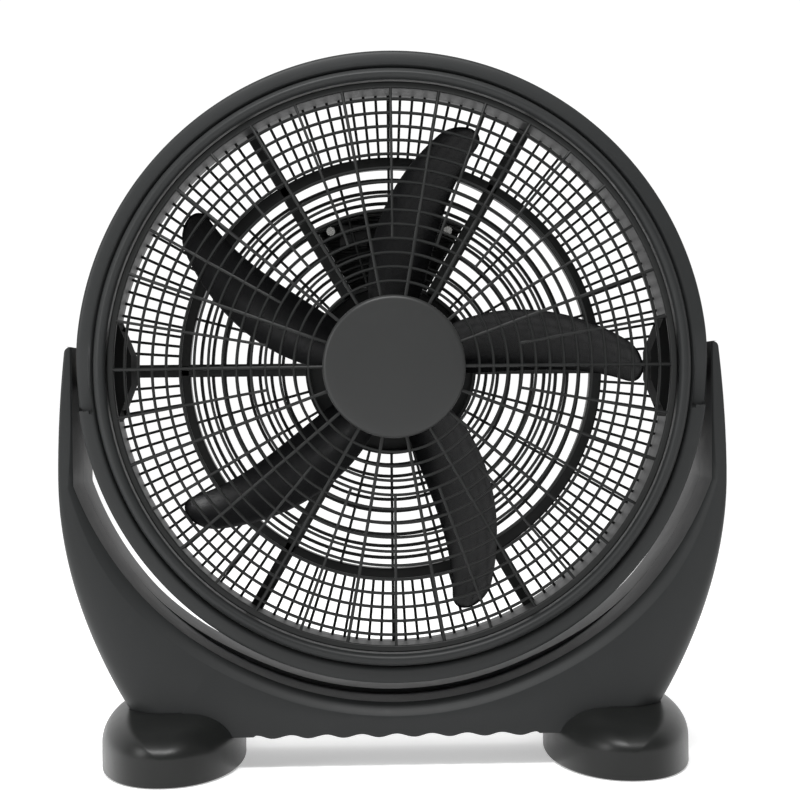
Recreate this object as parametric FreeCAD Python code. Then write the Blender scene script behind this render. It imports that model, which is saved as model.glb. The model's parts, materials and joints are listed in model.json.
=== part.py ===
import FreeCAD, Part
import math
import os

V = FreeCAD.Vector

# Driving dimensions in millimetres. The fan axis runs along Y with the front at -Y, the tilt
# axis runs along X, and the origin is on the floor under the middle of the fan.
ring_diameter = 560.0        # outside of the round housing
drum_depth = 160.0           # bead at the front to rim at the back
saddle_height = 55.0         # lowest point of the stand's cradle above the floor
saddle_gap = 23.0            # housing to cradle, so that the housing can turn right over
arm_gap = 5.0                # housing to each arm
arm_width = 13.0             # widest place of the arm, seen from the front
arm_rise = 21.0              # arm's top above the tilt axis
widest_drop = 100.0          # the stand is widest this far below the tilt axis
stand_depth = 120.0
stand_wall = 2.5
edge_round = 3.0             # rounding along the stand's outer edges
cradle_bevel = 7.0
under_gap = 30.0             # scalloped lower edge above the floor
scallop_pitch = 31.4
scallop_height = 3.0
scallop_count = 8

foot_length = 250.0
foot_height = 55.0
foot_width = 129.0
foot_inset = 40.0            # foot's outer side, inside the stand's widest place
foot_wall = 3.0
foot_inner_round = 52.0
foot_outer_round = 19.0
foot_end_round = 38.0
foot_plan_round = 58.0
foot_sole_round = 12.0
foot_boss_radius = 6.0
foot_margin = 1.5            # end and plan roundings run past the sides, so they cross cleanly
pad_thickness = 3.0
pad_radius = 13.0

duct_wall = 3.0
throat_step = 25.0           # outer rim to the throat's inner face
bead_radius = 5.0
band_depth = 11.0            # front bead ahead of the flat band
skirt_depth = 28.0
shell_gap = 0.9              # rear shell inside the front skirt

hoop_width = 6.0
hoop_depth = 6.0
hoop_setback = 8.0
hoop_gap = 2.9
grille_rise = 31.0           # dome of the front grille
grille_thickness = 4.0
grille_ring_count = 14
grille_ring_width = 2.2
first_ring_radius = 74.3
last_ring_radius = 236.3
main_rib_count = 18
main_rib_width = 3.2
short_rib_width = 2.5
short_rib_first_ring = 3
cap_radius = 62.0
cap_thickness = 6.0
cap_crown = 2.0

rear_plane = 40.0            # front face of the rear grille's spokes
spoke_count = 6
spoke_width = 12.0
spoke_depth = 14.0
rib_depth = 8.0
rear_hub_radius = 81.0
mid_band_inner = 189.5
mid_band_outer = 200.5
rear_ring_count = 9
rear_ring_width = 2.2
fine_rib_width = 1.8
fine_rib_pitch = 2.6         # degrees
fine_ribs_per_bay = 21
rear_guard_gap = 14.5         # ring's outside to the rear guard's, past the throat's flare
rear_tube_width = 4.0
flange_width = 10.0
flange_boss_radius = 4.6
motor_screw_circle = 38.0
vent_circle = 58.0
vent_radius = 4.5
vent_count = 12

blade_count = 5
blade_tip_radius = 233.0
blade_hub_radius = 57.0
blade_hub_depth = 34.0
blade_plane = -25.0          # middle of the blades along the fan axis
blade_thickness = 2.6
root_pitch = 34.0            # degrees
tip_pitch = 19.0
tip_gap = 4.0                # blade tips to pivot housings

motor_radius = 48.5
motor_front = -2.0
motor_length = 51.5
motor_wall = 2.5
stator_bore = 28.0
air_gap = 0.4
shaft_radius = 4.0
bearing_radius = 11.0
bearing_width = 6.0

bolt_radius = 5.0
pivot_boss_radius = 16.0
control_radius = 152.0
control_depth = 32.0
control_wall = 2.5
knob_radius = 17.0
knob_height = 15.0
knob_shaft_radius = 3.0
screw_radius = 2.0
screw_head_radius = 4.0
screw_head_height = 2.4
running = 0.05               # radial clearance of what turns
loose = 0.1                  # radial clearance of screws and plugs
seat = 0.2                   # between pieces that rest on each other

# Sizes that follow from the ones above
ring_radius = ring_diameter / 2
saddle_radius = ring_radius + saddle_gap
pivot_height = saddle_radius + saddle_height
arm_inner = ring_radius + arm_gap
half_width = arm_inner + arm_width
front_y = -drum_depth / 2
rear_y = drum_depth / 2
throat_radius = ring_radius - throat_step
foot_outer = half_width - foot_inset
foot_inner = foot_outer - foot_width
foot_top_x = foot_outer - foot_outer_round
hoop_radius = throat_radius - hoop_gap
rear_guard_radius = ring_radius - rear_guard_gap
hub_seat_y = rear_plane + spoke_depth - stand_wall
ring_pitch = (last_ring_radius - first_ring_radius) / (grille_ring_count - 1)
control_front_y = rear_plane + rib_depth + 2.0 + seat
control_back_y = control_front_y + control_depth
knob_offset = (rear_hub_radius + control_radius) / 2
pivot_nose = blade_tip_radius + tip_gap
sides = (("left", -1), ("right", 1))

centre = V(0, 0, pivot_height)
fan_axis = V(0, 1, 0)


# Shared shapes
def from_side(radius, y):
    return V(radius, y, 0)


def from_front(x, z):
    return V(x, 0, z)


def from_left(y, z):
    return V(0, y, z)


def from_above(x, y):
    return V(x, y, 0)


def polar(radius, degrees):
    angle = math.radians(degrees)
    return radius * math.cos(angle), radius * math.sin(angle)


def path(points, plane, closed=True):
    """Wire through 2-D points; a point with a third entry is the middle of an arc."""
    places = [plane(*point[:2]) for point in points]
    if closed:
        places.append(places[0])
    edges = []
    index = 0
    while index < len(places) - 1:
        if index + 1 < len(points) and len(points[index + 1]) == 3:
            arc = Part.Arc(places[index], places[index + 1], places[index + 2])
            edges.append(arc.toShape())
            index += 2
        else:
            edges.append(Part.LineSegment(places[index], places[index + 1]).toShape())
            index += 1
    return Part.Wire(edges)


def turned(points):
    """Solid of revolution about the fan axis from (radius, y) corners."""
    face = Part.Face(path(points, from_side))
    return face.revolve(V(), fan_axis, 360).translated(centre)


def turned_skin(points, wall):
    """Thin wall of revolution with round edges along an open (radius, y) line."""
    strip = path(points, from_side, closed=False).makeOffset2D(wall / 2, 0, True, False, False)
    return strip.revolve(V(), fan_axis, 360).translated(centre)


def tube(outer, inner, y_start, y_end, offset=(0, 0)):
    """Tube along the fan axis, or a rod where the inner radius is 0."""
    base = centre + V(offset[0], y_start, offset[1])
    body = Part.makeCylinder(outer, y_end - y_start, base, fan_axis)
    if inner:
        body = body.cut(Part.makeCylinder(inner, y_end - y_start, base, fan_axis))
    return body


def cross_tube(outer, inner, x_start, x_end):
    """Tube along the tilt axis from one distance to another on the +X side."""
    base = V(x_start, 0, pivot_height)
    body = Part.makeCylinder(outer, x_end - x_start, base, V(1, 0, 0))
    if inner:
        body = body.cut(Part.makeCylinder(inner, x_end - x_start, base, V(1, 0, 0)))
    return body


def along_y(face, y_start, y_end):
    return face.translated(V(0, y_start, 0)).extrude(V(0, y_end - y_start, 0))


def fuse_all(shapes):
    return shapes[0].multiFuse(shapes[1:]).removeSplitter()


def on_side(shape, side):
    """Shape drawn on the +X side, mirrored for the left."""
    if side > 0:
        return shape
    return shape.mirror(V(), V(1, 0, 0))


def screw_y(x, z, head_y, length, direction):
    """Pan-head screw along Y: head at head_y, shank in the given direction."""
    way = V(0, direction, 0)
    head = Part.makeCylinder(screw_head_radius, screw_head_height, V(x, head_y, z), -way)
    shank = Part.makeCylinder(screw_radius, length, V(x, head_y, z), way)
    recess = Part.makeBox(1.0, 1.4, 4.6, V(x - 0.5, -0.7, z - 2.3))
    cross = recess.fuse(Part.makeBox(4.6, 1.4, 1.0, V(x - 2.3, -0.7, z - 0.5)))
    cross = cross.translated(V(0, head_y - direction * screw_head_height, 0))
    return head.fuse(shank).cut(cross)


def window(r_in, r_out, start, end, half_start, half_end):
    """Opening between two rings and two ribs with the given half widths, as a closed wire."""
    def edge_angle(angle, half, radius, way):
        return angle + way * math.degrees(math.asin(half / radius))

    lower_in = edge_angle(start, half_start, r_in, 1)
    lower_out = edge_angle(start, half_start, r_out, 1)
    upper_in = edge_angle(end, half_end, r_in, -1)
    upper_out = edge_angle(end, half_end, r_out, -1)
    return path([
        polar(r_in, lower_in),
        polar(r_out, lower_out),
        polar(r_out, (lower_out + upper_out) / 2) + ("arc",),
        polar(r_out, upper_out),
        polar(r_in, upper_in),
        polar(r_in, (lower_in + upper_in) / 2) + ("arc",),
    ], from_front)


def pierced_disc(radius, openings):
    """Flat face of a round disc with openings, in the XZ plane."""
    rim = Part.Wire(Part.makeCircle(radius, V(), fan_axis))
    return Part.makeFace(Part.Compound([rim] + openings), "Part::FaceMakerBullseye")


# Stand
def stand_outline(inset, scalloped):
    """Outline of half the stand's U, from the middle of its lower edge to the arm and cradle."""
    cradle = saddle_radius + inset
    inner = arm_inner + inset
    top = pivot_height + arm_rise - inset
    waist = pivot_height - widest_drop
    foot_top = foot_height + seat + inset

    def bulge(x_end, z_end):
        """Centre x of the arc that is upright at the waist and passes through a point."""
        drop = half_width - x_end
        rise = z_end - waist
        return half_width - (drop * drop + rise * rise) / (2 * drop)

    def on_bulge(mid_x, z):
        radius = half_width - mid_x - inset
        return mid_x + math.sqrt(radius * radius - (z - waist) ** 2)

    lower = bulge(foot_top_x + 2.0, foot_height)
    upper = bulge(half_width - 7.0, pivot_height + arm_rise)
    round_radius = foot_inner_round + seat + inset
    round_x = foot_inner + foot_inner_round
    round_z = foot_height - foot_inner_round
    low = under_gap + inset + (0 if scalloped else scallop_height)
    seam_x = round_x - math.sqrt(round_radius ** 2 - (low - round_z) ** 2)
    seam_turn = math.asin((round_x - seam_x) / round_radius) / 2
    seam_mid = (round_x - round_radius * math.sin(seam_turn),
                round_z + round_radius * math.cos(seam_turn))
    arm_foot = pivot_height - math.sqrt(cradle ** 2 - inner ** 2)
    points = []
    if scalloped:
        half = scallop_pitch / 2
        for step in range(scallop_count):
            up = 1 if step % 2 == 0 else -1
            if step == 0:
                points.append((0.0, low + scallop_height / 2))
                points.append((half / 4, low + scallop_height * 0.35, "arc"))
            else:
                points.append(((step - 0.5) * half, low))
                points.append((step * half, low + up * scallop_height / 2, "arc"))
        points.append(((scallop_count - 0.5) * half, low))
    else:
        points.append((0.0, low))
    points += [
        (seam_x, low),
        seam_mid + ("arc",),
        (round_x, foot_top),
        (on_bulge(lower, foot_top), foot_top),
        (on_bulge(lower, (waist + foot_top) / 2), (waist + foot_top) / 2, "arc"),
        (half_width - inset, waist),
        (on_bulge(upper, (waist + top) / 2), (waist + top) / 2, "arc"),
        (on_bulge(upper, top), top),
        (inner, top),
        (inner, arm_foot),
        (cradle * math.sin(math.radians(35)),
         pivot_height - cradle * math.cos(math.radians(35)), "arc"),
        (0.0, pivot_height - cradle),
    ]
    return points


def stand_half_face(inset, scalloped=False):
    half = Part.Face(path(stand_outline(inset, scalloped), from_front))
    return fuse_all([half, half.mirror(V(), V(1, 0, 0))])


def stand_boss_places():
    """Screws that join the two shells, along the middle of the U."""
    places = []
    for angle in (0, 22, 40, 58):
        gap = math.radians(angle)
        if angle == 0:
            middle = saddle_radius + (saddle_height - under_gap) / 2
        else:
            middle = saddle_radius + 13.0
        x = middle * math.sin(gap)
        z = pivot_height - middle * math.cos(gap)
        places.append((x, z))
        if angle:
            places.append((-x, z))
    return places


def foot_screw_places(side):
    x = side * (foot_inner + foot_outer + foot_inner_round / 2) / 2
    return [(x, y) for y in (-stand_depth / 4, stand_depth / 4)]


def make_stand_shell(direction):
    """One half of the moulded U: direction -1 is the front shell and 1 the rear."""
    outside = along_y(stand_half_face(0, scalloped=True), 0, stand_depth / 2)
    bevel_cone = Part.makeCone(saddle_radius, saddle_radius + 2 * cradle_bevel, 2 * cradle_bevel,
                               V(0, stand_depth / 2 - cradle_bevel, pivot_height), fan_axis)
    between_arms = Part.makeBox(2 * arm_inner, stand_depth, pivot_height, V(-arm_inner, 0, 0))
    outside = outside.cut(bevel_cone.common(between_arms))
    hollow = along_y(stand_half_face(stand_wall), 0, stand_depth / 2 - cradle_bevel - stand_wall)
    deep = along_y(stand_half_face(stand_wall + edge_round), 0, stand_depth / 2 - stand_wall)
    keep_clear = Part.makeCylinder(saddle_radius + cradle_bevel + stand_wall, stand_depth,
                                   V(0, 0, pivot_height), fan_axis)
    shell = outside.cut(hollow).cut(deep.cut(keep_clear))
    bosses = []
    holes = []
    for x, z in stand_boss_places():
        bosses.append(Part.makeCylinder(5.0, stand_depth / 2 - stand_wall, V(x, 0, z), fan_axis))
        holes.append(Part.makeCylinder(screw_radius + loose, stand_depth, V(x, -1, z), fan_axis))
    for label, side in sides:
        for x, y in foot_screw_places(side):
            if y > 0:
                base = V(x, y, foot_height + seat)
                bosses.append(Part.makeCylinder(6.0, 26.0, base))
                holes.append(Part.makeCylinder(screw_radius + loose, 22.0, base))
    shell = shell.multiFuse(bosses).cut(Part.makeCompound(holes[:len(stand_boss_places())])
                                        if direction > 0 else short_holes())
    shell = shell.cut(Part.makeCompound(holes[len(stand_boss_places()):]))
    for label, side in sides:
        bore = cross_tube(bolt_radius + loose, 0, arm_inner - 1, arm_inner + stand_wall + 1)
        shell = shell.cut(on_side(bore, side))
    if direction < 0:
        shell = shell.mirror(V(), V(0, 1, 0))
    return shell


def short_holes():
    """Blind screw holes of the front shell, so that its face stays closed."""
    depth = stand_depth / 2 - 3 * stand_wall - cradle_bevel
    return Part.makeCompound([
        Part.makeCylinder(screw_radius + loose, depth, V(x, -1, z), fan_axis)
        for x, z in stand_boss_places()])


def make_stand_screws():
    length = stand_depth / 2 + 38.0
    return Part.makeCompound([
        screw_y(x, z, stand_depth / 2, length, -1) for x, z in stand_boss_places()])


def foot_block(inset):
    """Rounded loaf of one foot on the +X side, drawn inside its outer faces by inset."""
    inner = foot_inner + inset
    outer = foot_outer - inset
    top = foot_height - inset
    sole = pad_thickness + inset
    half = foot_length / 2 - inset
    inner_round = foot_inner_round - inset
    shoulder = foot_outer_round - inset
    sole_round = foot_sole_round - inset
    end_round = foot_end_round - inset
    corner = foot_plan_round - inset
    bend = 1 - math.sqrt(0.5)
    across = path([
        (inner, sole),
        (inner + inner_round * bend, top - inner_round * bend, "arc"),
        (inner + inner_round, top),
        (outer - shoulder, top),
        (outer - shoulder * bend, top - shoulder * bend, "arc"),
        (outer, top - shoulder),
        (outer, sole + sole_round),
        (outer - sole_round * bend, sole + sole_round * bend, "arc"),
        (outer - sole_round, sole),
    ], from_front)
    low = sole - foot_margin
    high = top + foot_margin
    lengthways = path([
        (-half + sole_round, low),
        (-half + sole_round * bend, low + sole_round * bend, "arc"),
        (-half, low + sole_round),
        (-half, high - end_round),
        (-half + end_round * bend, high - end_round * bend, "arc"),
        (-half + end_round, high),
        (half - end_round, high),
        (half - end_round * bend, high - end_round * bend, "arc"),
        (half, high - end_round),
        (half, low + sole_round),
        (half - sole_round * bend, low + sole_round * bend, "arc"),
        (half - sole_round, low),
    ], from_left)
    near = inner - foot_margin
    far = outer + foot_margin
    end = half + foot_margin
    plan = path([
        (near, -end + corner),
        (near + corner * bend, -end + corner * bend, "arc"),
        (near + corner, -end),
        (far - corner, -end),
        (far - corner * bend, -end + corner * bend, "arc"),
        (far, -end + corner),
        (far, end - corner),
        (far - corner * bend, end - corner * bend, "arc"),
        (far - corner, end),
        (near + corner, end),
        (near + corner * bend, end - corner * bend, "arc"),
        (near, end - corner),
    ], from_above)
    block = along_y(Part.Face(across), -half - foot_margin, half + foot_margin)
    block = block.common(Part.Face(lengthways).extrude(V(2 * foot_outer, 0, 0)))
    return block.common(Part.Face(plan).extrude(V(0, 0, foot_height + 1)))


def pad_places(side):
    x_places = (foot_inner + 26.0, foot_outer - 30.0)
    y_place = foot_length / 2 - 36.0
    return [(side * x, y) for x in x_places for y in (-y_place, y_place)]


def make_foot(side):
    foot = foot_block(0).cut(foot_block(foot_wall))
    lid_x = foot_inner + foot_inner_round + foot_wall
    opening = Part.makeBox(foot_top_x - foot_wall - lid_x, stand_depth - 4 * foot_wall,
                           2 * foot_wall,
                           V(lid_x, -stand_depth / 2 + 2 * foot_wall, foot_height - foot_wall - 1))
    foot = foot.cut(opening)
    for x, y in foot_screw_places(1):
        foot = foot.fuse(Part.makeCylinder(foot_boss_radius, foot_height - pad_thickness,
                                           V(x, y, pad_thickness)))
        foot = foot.cut(Part.makeCylinder(screw_radius + loose, foot_height, V(x, y, 0)))
        foot = foot.cut(Part.makeCylinder(screw_head_radius + seat, screw_head_height,
                                          V(x, y, pad_thickness)))
    return on_side(foot, side)


def make_rubber_pads():
    pads = []
    for label, side in sides:
        for x, y in pad_places(side):
            pad = Part.makeCylinder(pad_radius, pad_thickness, V(x, y, 0))
            pads.append(pad.makeFillet(0.8, [pad.Edges[2]]))
    return Part.makeCompound(pads)


def make_foot_screws():
    screws = []
    for label, side in sides:
        for x, y in foot_screw_places(side):
            base = V(x, y, pad_thickness)
            head = Part.makeCylinder(screw_head_radius, screw_head_height, base)
            shank = Part.makeCylinder(screw_radius, foot_height + 12.0, base)
            slot = Part.makeBox(4.6, 1.0, 1.2, V(x - 2.3, y - 0.5, pad_thickness))
            cross = slot.fuse(Part.makeBox(1.0, 4.6, 1.2, V(x - 0.5, y - 2.3, pad_thickness)))
            screws.append(head.fuse(shank).cut(cross))
    return Part.makeCompound(screws)


# Tilt pivots
washer_outer_x = arm_inner - seat
boss_face_x = ring_radius + 0.5
nut_x = throat_radius - 11.0
nut_thickness = 6.0
spring_gap = 2.6


def make_pivot_bolt(side):
    """Steel bolt held in the arm; the housing turns on its plain shank."""
    head = cross_tube(8.5, 0, arm_inner + stand_wall + seat, arm_inner + stand_wall + 2.0)
    shank = cross_tube(bolt_radius, 0, nut_x - 2.0, arm_inner + stand_wall + seat)
    return on_side(head.fuse(shank), side)


def make_pivot_nuts():
    nuts = []
    for label, side in sides:
        corners = [(9.0 * math.cos(math.radians(60 * n)), 9.0 * math.sin(math.radians(60 * n)))
                   for n in range(6)]
        hexagon = Part.Face(path(corners, from_left)).extrude(V(nut_thickness, 0, 0))
        hexagon = hexagon.translated(V(nut_x, 0, pivot_height))
        bore = cross_tube(bolt_radius + running, 0, nut_x - 1, nut_x + nut_thickness + 1)
        nuts.append(on_side(hexagon.cut(bore), side))
    return Part.makeCompound(nuts)


def make_friction_washers():
    return Part.makeCompound([
        on_side(cross_tube(14.0, bolt_radius + running, boss_face_x + seat, washer_outer_x), side)
        for label, side in sides])


def make_spring_washers():
    """Cone washers that press the housing against the friction washers."""
    washers = []
    start = nut_x + nut_thickness + seat
    for label, side in sides:
        profile = path([
            (start, bolt_radius + running),
            (start + 1.0, bolt_radius + running),
            (start + spring_gap, 10.0),
            (start + spring_gap - 1.0, 10.0),
        ], lambda x, r: V(x, r, 0))
        cone = Part.Face(profile).revolve(V(), V(1, 0, 0), 360)
        washers.append(on_side(cone.translated(V(0, 0, pivot_height)), side))
    return Part.makeCompound(washers)


# Round housing
flange_y = rear_y + seat
rim_mid = ring_radius - duct_wall / 2
throat_mid = throat_radius + duct_wall / 2
groove_radius = throat_mid + 6.5
band_y = front_y + band_depth


def make_duct_ring():
    """Front moulding: skirt, sloping band, groove, rounded bead and throat in one wall."""
    bead_top = front_y + duct_wall / 2
    skin = turned_skin([
        (rim_mid, band_y + skirt_depth),
        (rim_mid, band_y + 4.0),
        (rim_mid - 2.5, band_y + 0.8),
        (groove_radius + 4.0, band_y - 0.4),
        (groove_radius + 1.2, band_y + 2.0),
        (throat_mid + 2 * bead_radius - 3.2, band_y - 1.6),
        (throat_mid + bead_radius - 1.5, bead_top, "arc"),
        (throat_mid - 1.2, band_y - 1.6),
        (throat_mid, front_y + hoop_setback + hoop_depth + 8.0),
        (throat_mid, pivot_boss_radius),
        (rear_guard_radius + seat + duct_wall / 2, rear_plane - 2.0),
        (rear_guard_radius + seat + duct_wall / 2, rear_y - 24.0),
    ], duct_wall)
    for label, side in sides:
        bore = cross_tube(bolt_radius + 0.4, 0, throat_radius - 3, throat_radius + 2 * duct_wall)
        skin = skin.cut(on_side(bore, side))
    return skin


shell_mid = ring_radius - duct_wall - shell_gap - duct_wall / 2


def grille_screw_angles():
    return [30 + 60 * n for n in range(6)]


flange_screw_radius = rear_guard_radius + flange_boss_radius + seat


def make_drum_shell():
    """Rear moulding: outer wall, rolled rear rim, screw bosses and the two pivot bosses."""
    face_y = rear_y - duct_wall / 2
    skin = turned_skin([
        (shell_mid, front_y + 26.0),
        (shell_mid, rear_y - 20.0),
        (shell_mid + 2.0, rear_y - 14.0),
        (shell_mid + 2.0, face_y - 5.0),
        (shell_mid + 0.5, face_y - 1.5, "arc"),
        (shell_mid - 3.0, face_y),
        (rear_guard_radius + duct_wall, face_y),
    ], duct_wall)
    extras = []
    for angle in grille_screw_angles():
        boss = tube(flange_boss_radius, 0, rear_y - 20.0, rear_y - 1.0, polar(flange_screw_radius, angle))
        extras.append(boss)
    for label, side in sides:
        pad = cross_tube(pivot_boss_radius, 0, shell_mid - 1.0, boss_face_x)
        extras.append(on_side(pad, side))
    skin = skin.multiFuse(extras)
    for angle in grille_screw_angles():
        hole = tube(screw_radius + loose, 0, rear_y - 18.0, rear_y + 1.0,
                    polar(flange_screw_radius, angle))
        skin = skin.cut(hole)
    for label, side in sides:
        bore = cross_tube(bolt_radius + running, 0, shell_mid - 4.0, boss_face_x + 1.0)
        skin = skin.cut(on_side(bore, side))
    return skin


def make_pivot_sleeves():
    """Spacer tubes between the throat and the outer wall, one on each pivot bolt."""
    start = throat_radius + duct_wall + seat
    end = shell_mid - duct_wall / 2 - seat
    return Part.makeCompound([
        on_side(cross_tube(9.0, bolt_radius + running, start, end), side)
        for label, side in sides])


def pivot_housing_outline(inset):
    base = throat_radius - 0.3 - inset
    angle = math.asin(47.0 / throat_radius) - inset / throat_radius
    nose_half = 13.0 - inset / 2
    return path([
        (pivot_nose + inset, -nose_half),
        (base * math.cos(angle), -base * math.sin(angle)),
        (base + inset, 0.0, "arc"),
        (base * math.cos(angle), base * math.sin(angle)),
        (pivot_nose + inset, nose_half),
    ], from_front)


def make_pivot_housing(side):
    """Wedge-shaped cover over the bolt's nut, inside the throat."""
    cover = along_y(Part.Face(pivot_housing_outline(0)), -22, 22)
    cover = cover.translated(V(0, 0, pivot_height))
    cover = cover.common(tube(throat_radius - 0.3, 0, -22, 22))
    pocket = along_y(Part.Face(pivot_housing_outline(duct_wall)), -22 + duct_wall, 22 - duct_wall)
    cover = cover.cut(pocket.translated(V(0, 0, pivot_height)))
    mouth = Part.makeBox(12, 32, 30, V(throat_radius - 12, -16, pivot_height - 15))
    return on_side(cover.cut(mouth), side)


# Grilles
hoop_front_y = front_y + hoop_setback


def dome_y(radius):
    """Front face of the domed grille at a distance from the fan axis."""
    ball = (hoop_radius ** 2 + grille_rise ** 2) / (2 * grille_rise)
    sag = ball - math.sqrt(ball ** 2 - radius ** 2)
    return hoop_front_y - grille_rise + sag


def ring_radius_of(index):
    return first_ring_radius + index * ring_pitch


def front_grille_windows():
    """Openings between the rings; the short ribs start part of the way out."""
    main_step = 360 / main_rib_count
    half_ring = grille_ring_width / 2
    edges = [(cap_radius - 2.0, ring_radius_of(0) - half_ring)]
    for index in range(grille_ring_count - 1):
        edges.append((ring_radius_of(index) + half_ring, ring_radius_of(index + 1) - half_ring))
    edges.append((ring_radius_of(grille_ring_count - 1) + half_ring, hoop_radius - hoop_width))
    openings = []
    for row, (r_in, r_out) in enumerate(edges):
        for bay in range(main_rib_count):
            start = bay * main_step
            wide = main_rib_width / 2
            slim = short_rib_width / 2
            if row <= short_rib_first_ring:
                openings.append(window(r_in, r_out, start, start + main_step, wide, wide))
            else:
                middle = start + main_step / 2
                openings.append(window(r_in, r_out, start, middle, wide, slim))
                openings.append(window(r_in, r_out, middle, start + main_step, slim, wide))
    return openings


def make_front_grille():
    pattern = along_y(pierced_disc(hoop_radius, front_grille_windows()),
                      hoop_front_y - 2 * grille_rise, hoop_front_y + 2 * hoop_depth)
    hoop_in = hoop_radius - hoop_width
    middle = hoop_in / 2
    dome = turned([
        (0.0, dome_y(0)),
        (middle, dome_y(middle), "arc"),
        (hoop_in, dome_y(hoop_in)),
        (hoop_radius, dome_y(hoop_in)),
        (hoop_radius, hoop_front_y + hoop_depth),
        (hoop_in, hoop_front_y + hoop_depth),
        (hoop_in, dome_y(hoop_in) + grille_thickness),
        (middle, dome_y(middle) + grille_thickness, "arc"),
        (0.0, dome_y(0) + grille_thickness),
    ])
    return pattern.translated(centre).common(dome)


def make_hub_cap():
    """Crowned round cap on the grille's solid middle."""
    back = dome_y(0) - seat
    rim_y = dome_y(cap_radius) - 0.5
    return turned([
        (0.0, back - cap_thickness),
        (cap_radius * 0.55, back - cap_thickness + cap_crown * 0.35, "arc"),
        (cap_radius - 3.0, back - cap_thickness + cap_crown),
        (cap_radius - 0.8, back - cap_thickness + cap_crown + 0.9, "arc"),
        (cap_radius, back - cap_thickness + cap_crown + 3.0),
        (cap_radius, rim_y),
        (cap_radius - 3.0, rim_y),
        (cap_radius - 3.0, back - 1.0),
        (20.0, back - 1.0),
        (20.0, back),
        (0.0, back),
    ])


def spoke_angle(index):
    return 60.0 * index


def thick_rear_openings():
    """Openings of the deep part: between hub, spokes, middle band and outer tube."""
    half = spoke_width / 2
    tube_in = rear_guard_radius - rear_tube_width
    openings = []
    for index in range(spoke_count):
        start = spoke_angle(index)
        end = start + 60.0
        openings.append(window(rear_hub_radius, mid_band_inner, start, end, half, half))
        openings.append(window(mid_band_outer, tube_in, start, end, half, half))
    openings.append(Part.Wire(Part.makeCircle(rear_hub_radius - 4.0, V(), fan_axis)))
    return openings


def thin_rear_openings():
    """Openings of the fine pattern: rings and slim ribs inside, close ribs outside."""
    half = spoke_width / 2
    slim = fine_rib_width / 2
    pitch = (mid_band_inner - rear_hub_radius) / (rear_ring_count + 1)
    openings = []
    for index in range(spoke_count):
        start = spoke_angle(index)
        first = start + 30.0 - fine_rib_pitch * (fine_ribs_per_bay - 1) / 2
        angles = [start] + [first + fine_rib_pitch * n for n in range(fine_ribs_per_bay)]
        angles.append(start + 60.0)
        halves = [half] + [slim] * fine_ribs_per_bay + [half]
        for n in range(fine_ribs_per_bay + 1):
            openings.append(window(mid_band_outer, rear_guard_radius - rear_tube_width, angles[n],
                                   angles[n + 1], halves[n], halves[n + 1]))
        for ring in range(rear_ring_count + 1):
            r_in = rear_hub_radius + ring * pitch + (rear_ring_width / 2 if ring else 0)
            r_out = rear_hub_radius + (ring + 1) * pitch - rear_ring_width / 2
            if ring == rear_ring_count:
                r_out = mid_band_inner
            if start == 60.0 and r_in < control_radius:
                continue
            for n in range(4):
                left = half if n == 0 else slim
                right = half if n == 3 else slim
                openings.append(window(r_in, r_out, start + 15 * n, start + 15 * (n + 1),
                                       left, right))
    return openings


def control_screw_places():
    return [polar(control_radius - 10.0, 67.0), polar(control_radius - 10.0, 113.0),
            polar(rear_hub_radius + 14.0, 90.0)]


def motor_screw_places():
    return [polar(motor_screw_circle, 45 + 90 * n) for n in range(4)]


def make_rear_grille():
    """Rear guard: fine ribs, six spokes, motor plate and control panel in one moulding."""
    ribs = along_y(pierced_disc(rear_guard_radius, thin_rear_openings()),
                   rear_plane + 2.0, rear_plane + 2.0 + rib_depth)
    motor_well = Part.makeCylinder(rear_hub_radius - 4.0, rib_depth * 3, V(0, rear_plane - 5, 0),
                                   fan_axis)
    spokes = along_y(pierced_disc(rear_guard_radius, thick_rear_openings()),
                     rear_plane, rear_plane + spoke_depth)
    plate = Part.makeCylinder(rear_hub_radius - 2.0, stand_wall + 1.5,
                              V(0, hub_seat_y - 1.5, 0), fan_axis)
    grille = ribs.cut(motor_well).multiFuse([spokes, plate])
    panel_back = Part.Face(window(rear_hub_radius + 3.0, control_radius - 3.0, 60, 120,
                                  spoke_width / 2 + 3.0, spoke_width / 2 + 3.0))
    grille = grille.cut(along_y(panel_back, rear_plane + 5.0, rear_plane + rib_depth + 2.5))
    holes = []
    for x, z in control_screw_places():
        holes.append(Part.makeCylinder(screw_radius + loose, 30, V(x, rear_plane - 5, z), fan_axis))
    for x, z in motor_screw_places():
        holes.append(Part.makeCylinder(screw_radius + loose, 30, V(x, rear_plane - 5, z), fan_axis))
    for n in range(vent_count):
        x, z = polar(vent_circle, 360 * n / vent_count)
        holes.append(Part.makeCylinder(vent_radius, 20, V(x, hub_seat_y - 8, z), fan_axis))
    return grille.cut(Part.makeCompound(holes)).translated(centre)


def make_rear_trim_ring():
    """Ring that holds the rear guard in the throat, with a screw flange on the rear rim."""
    start = rear_plane + spoke_depth + seat
    ring = turned([
        (rear_guard_radius, start),
        (rear_guard_radius, flange_y),
        (rear_guard_radius + flange_width, flange_y),
        (rear_guard_radius + flange_width, flange_y + duct_wall),
        (rear_guard_radius - duct_wall, flange_y + duct_wall),
        (rear_guard_radius - duct_wall, start),
    ])
    holes = [tube(screw_radius + loose, 0, rear_y - 5, rear_y + 15,
                  polar(flange_screw_radius, angle)) for angle in grille_screw_angles()]
    return ring.cut(Part.makeCompound(holes))


def place_screws(places, head_y, length, direction):
    return Part.makeCompound([
        screw_y(x, z + pivot_height, head_y, length, direction) for x, z in places])


# Motor and blade wheel
motor_back = motor_front + motor_length
stator_radius = motor_radius - motor_wall
bell_split = motor_front + 24.0


def motor_ears(y_start, y_end):
    ears = [tube(4.5, 0, y_start, y_end, polar(motor_radius + 2.5, 90 * n)) for n in range(4)]
    return ears


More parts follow.
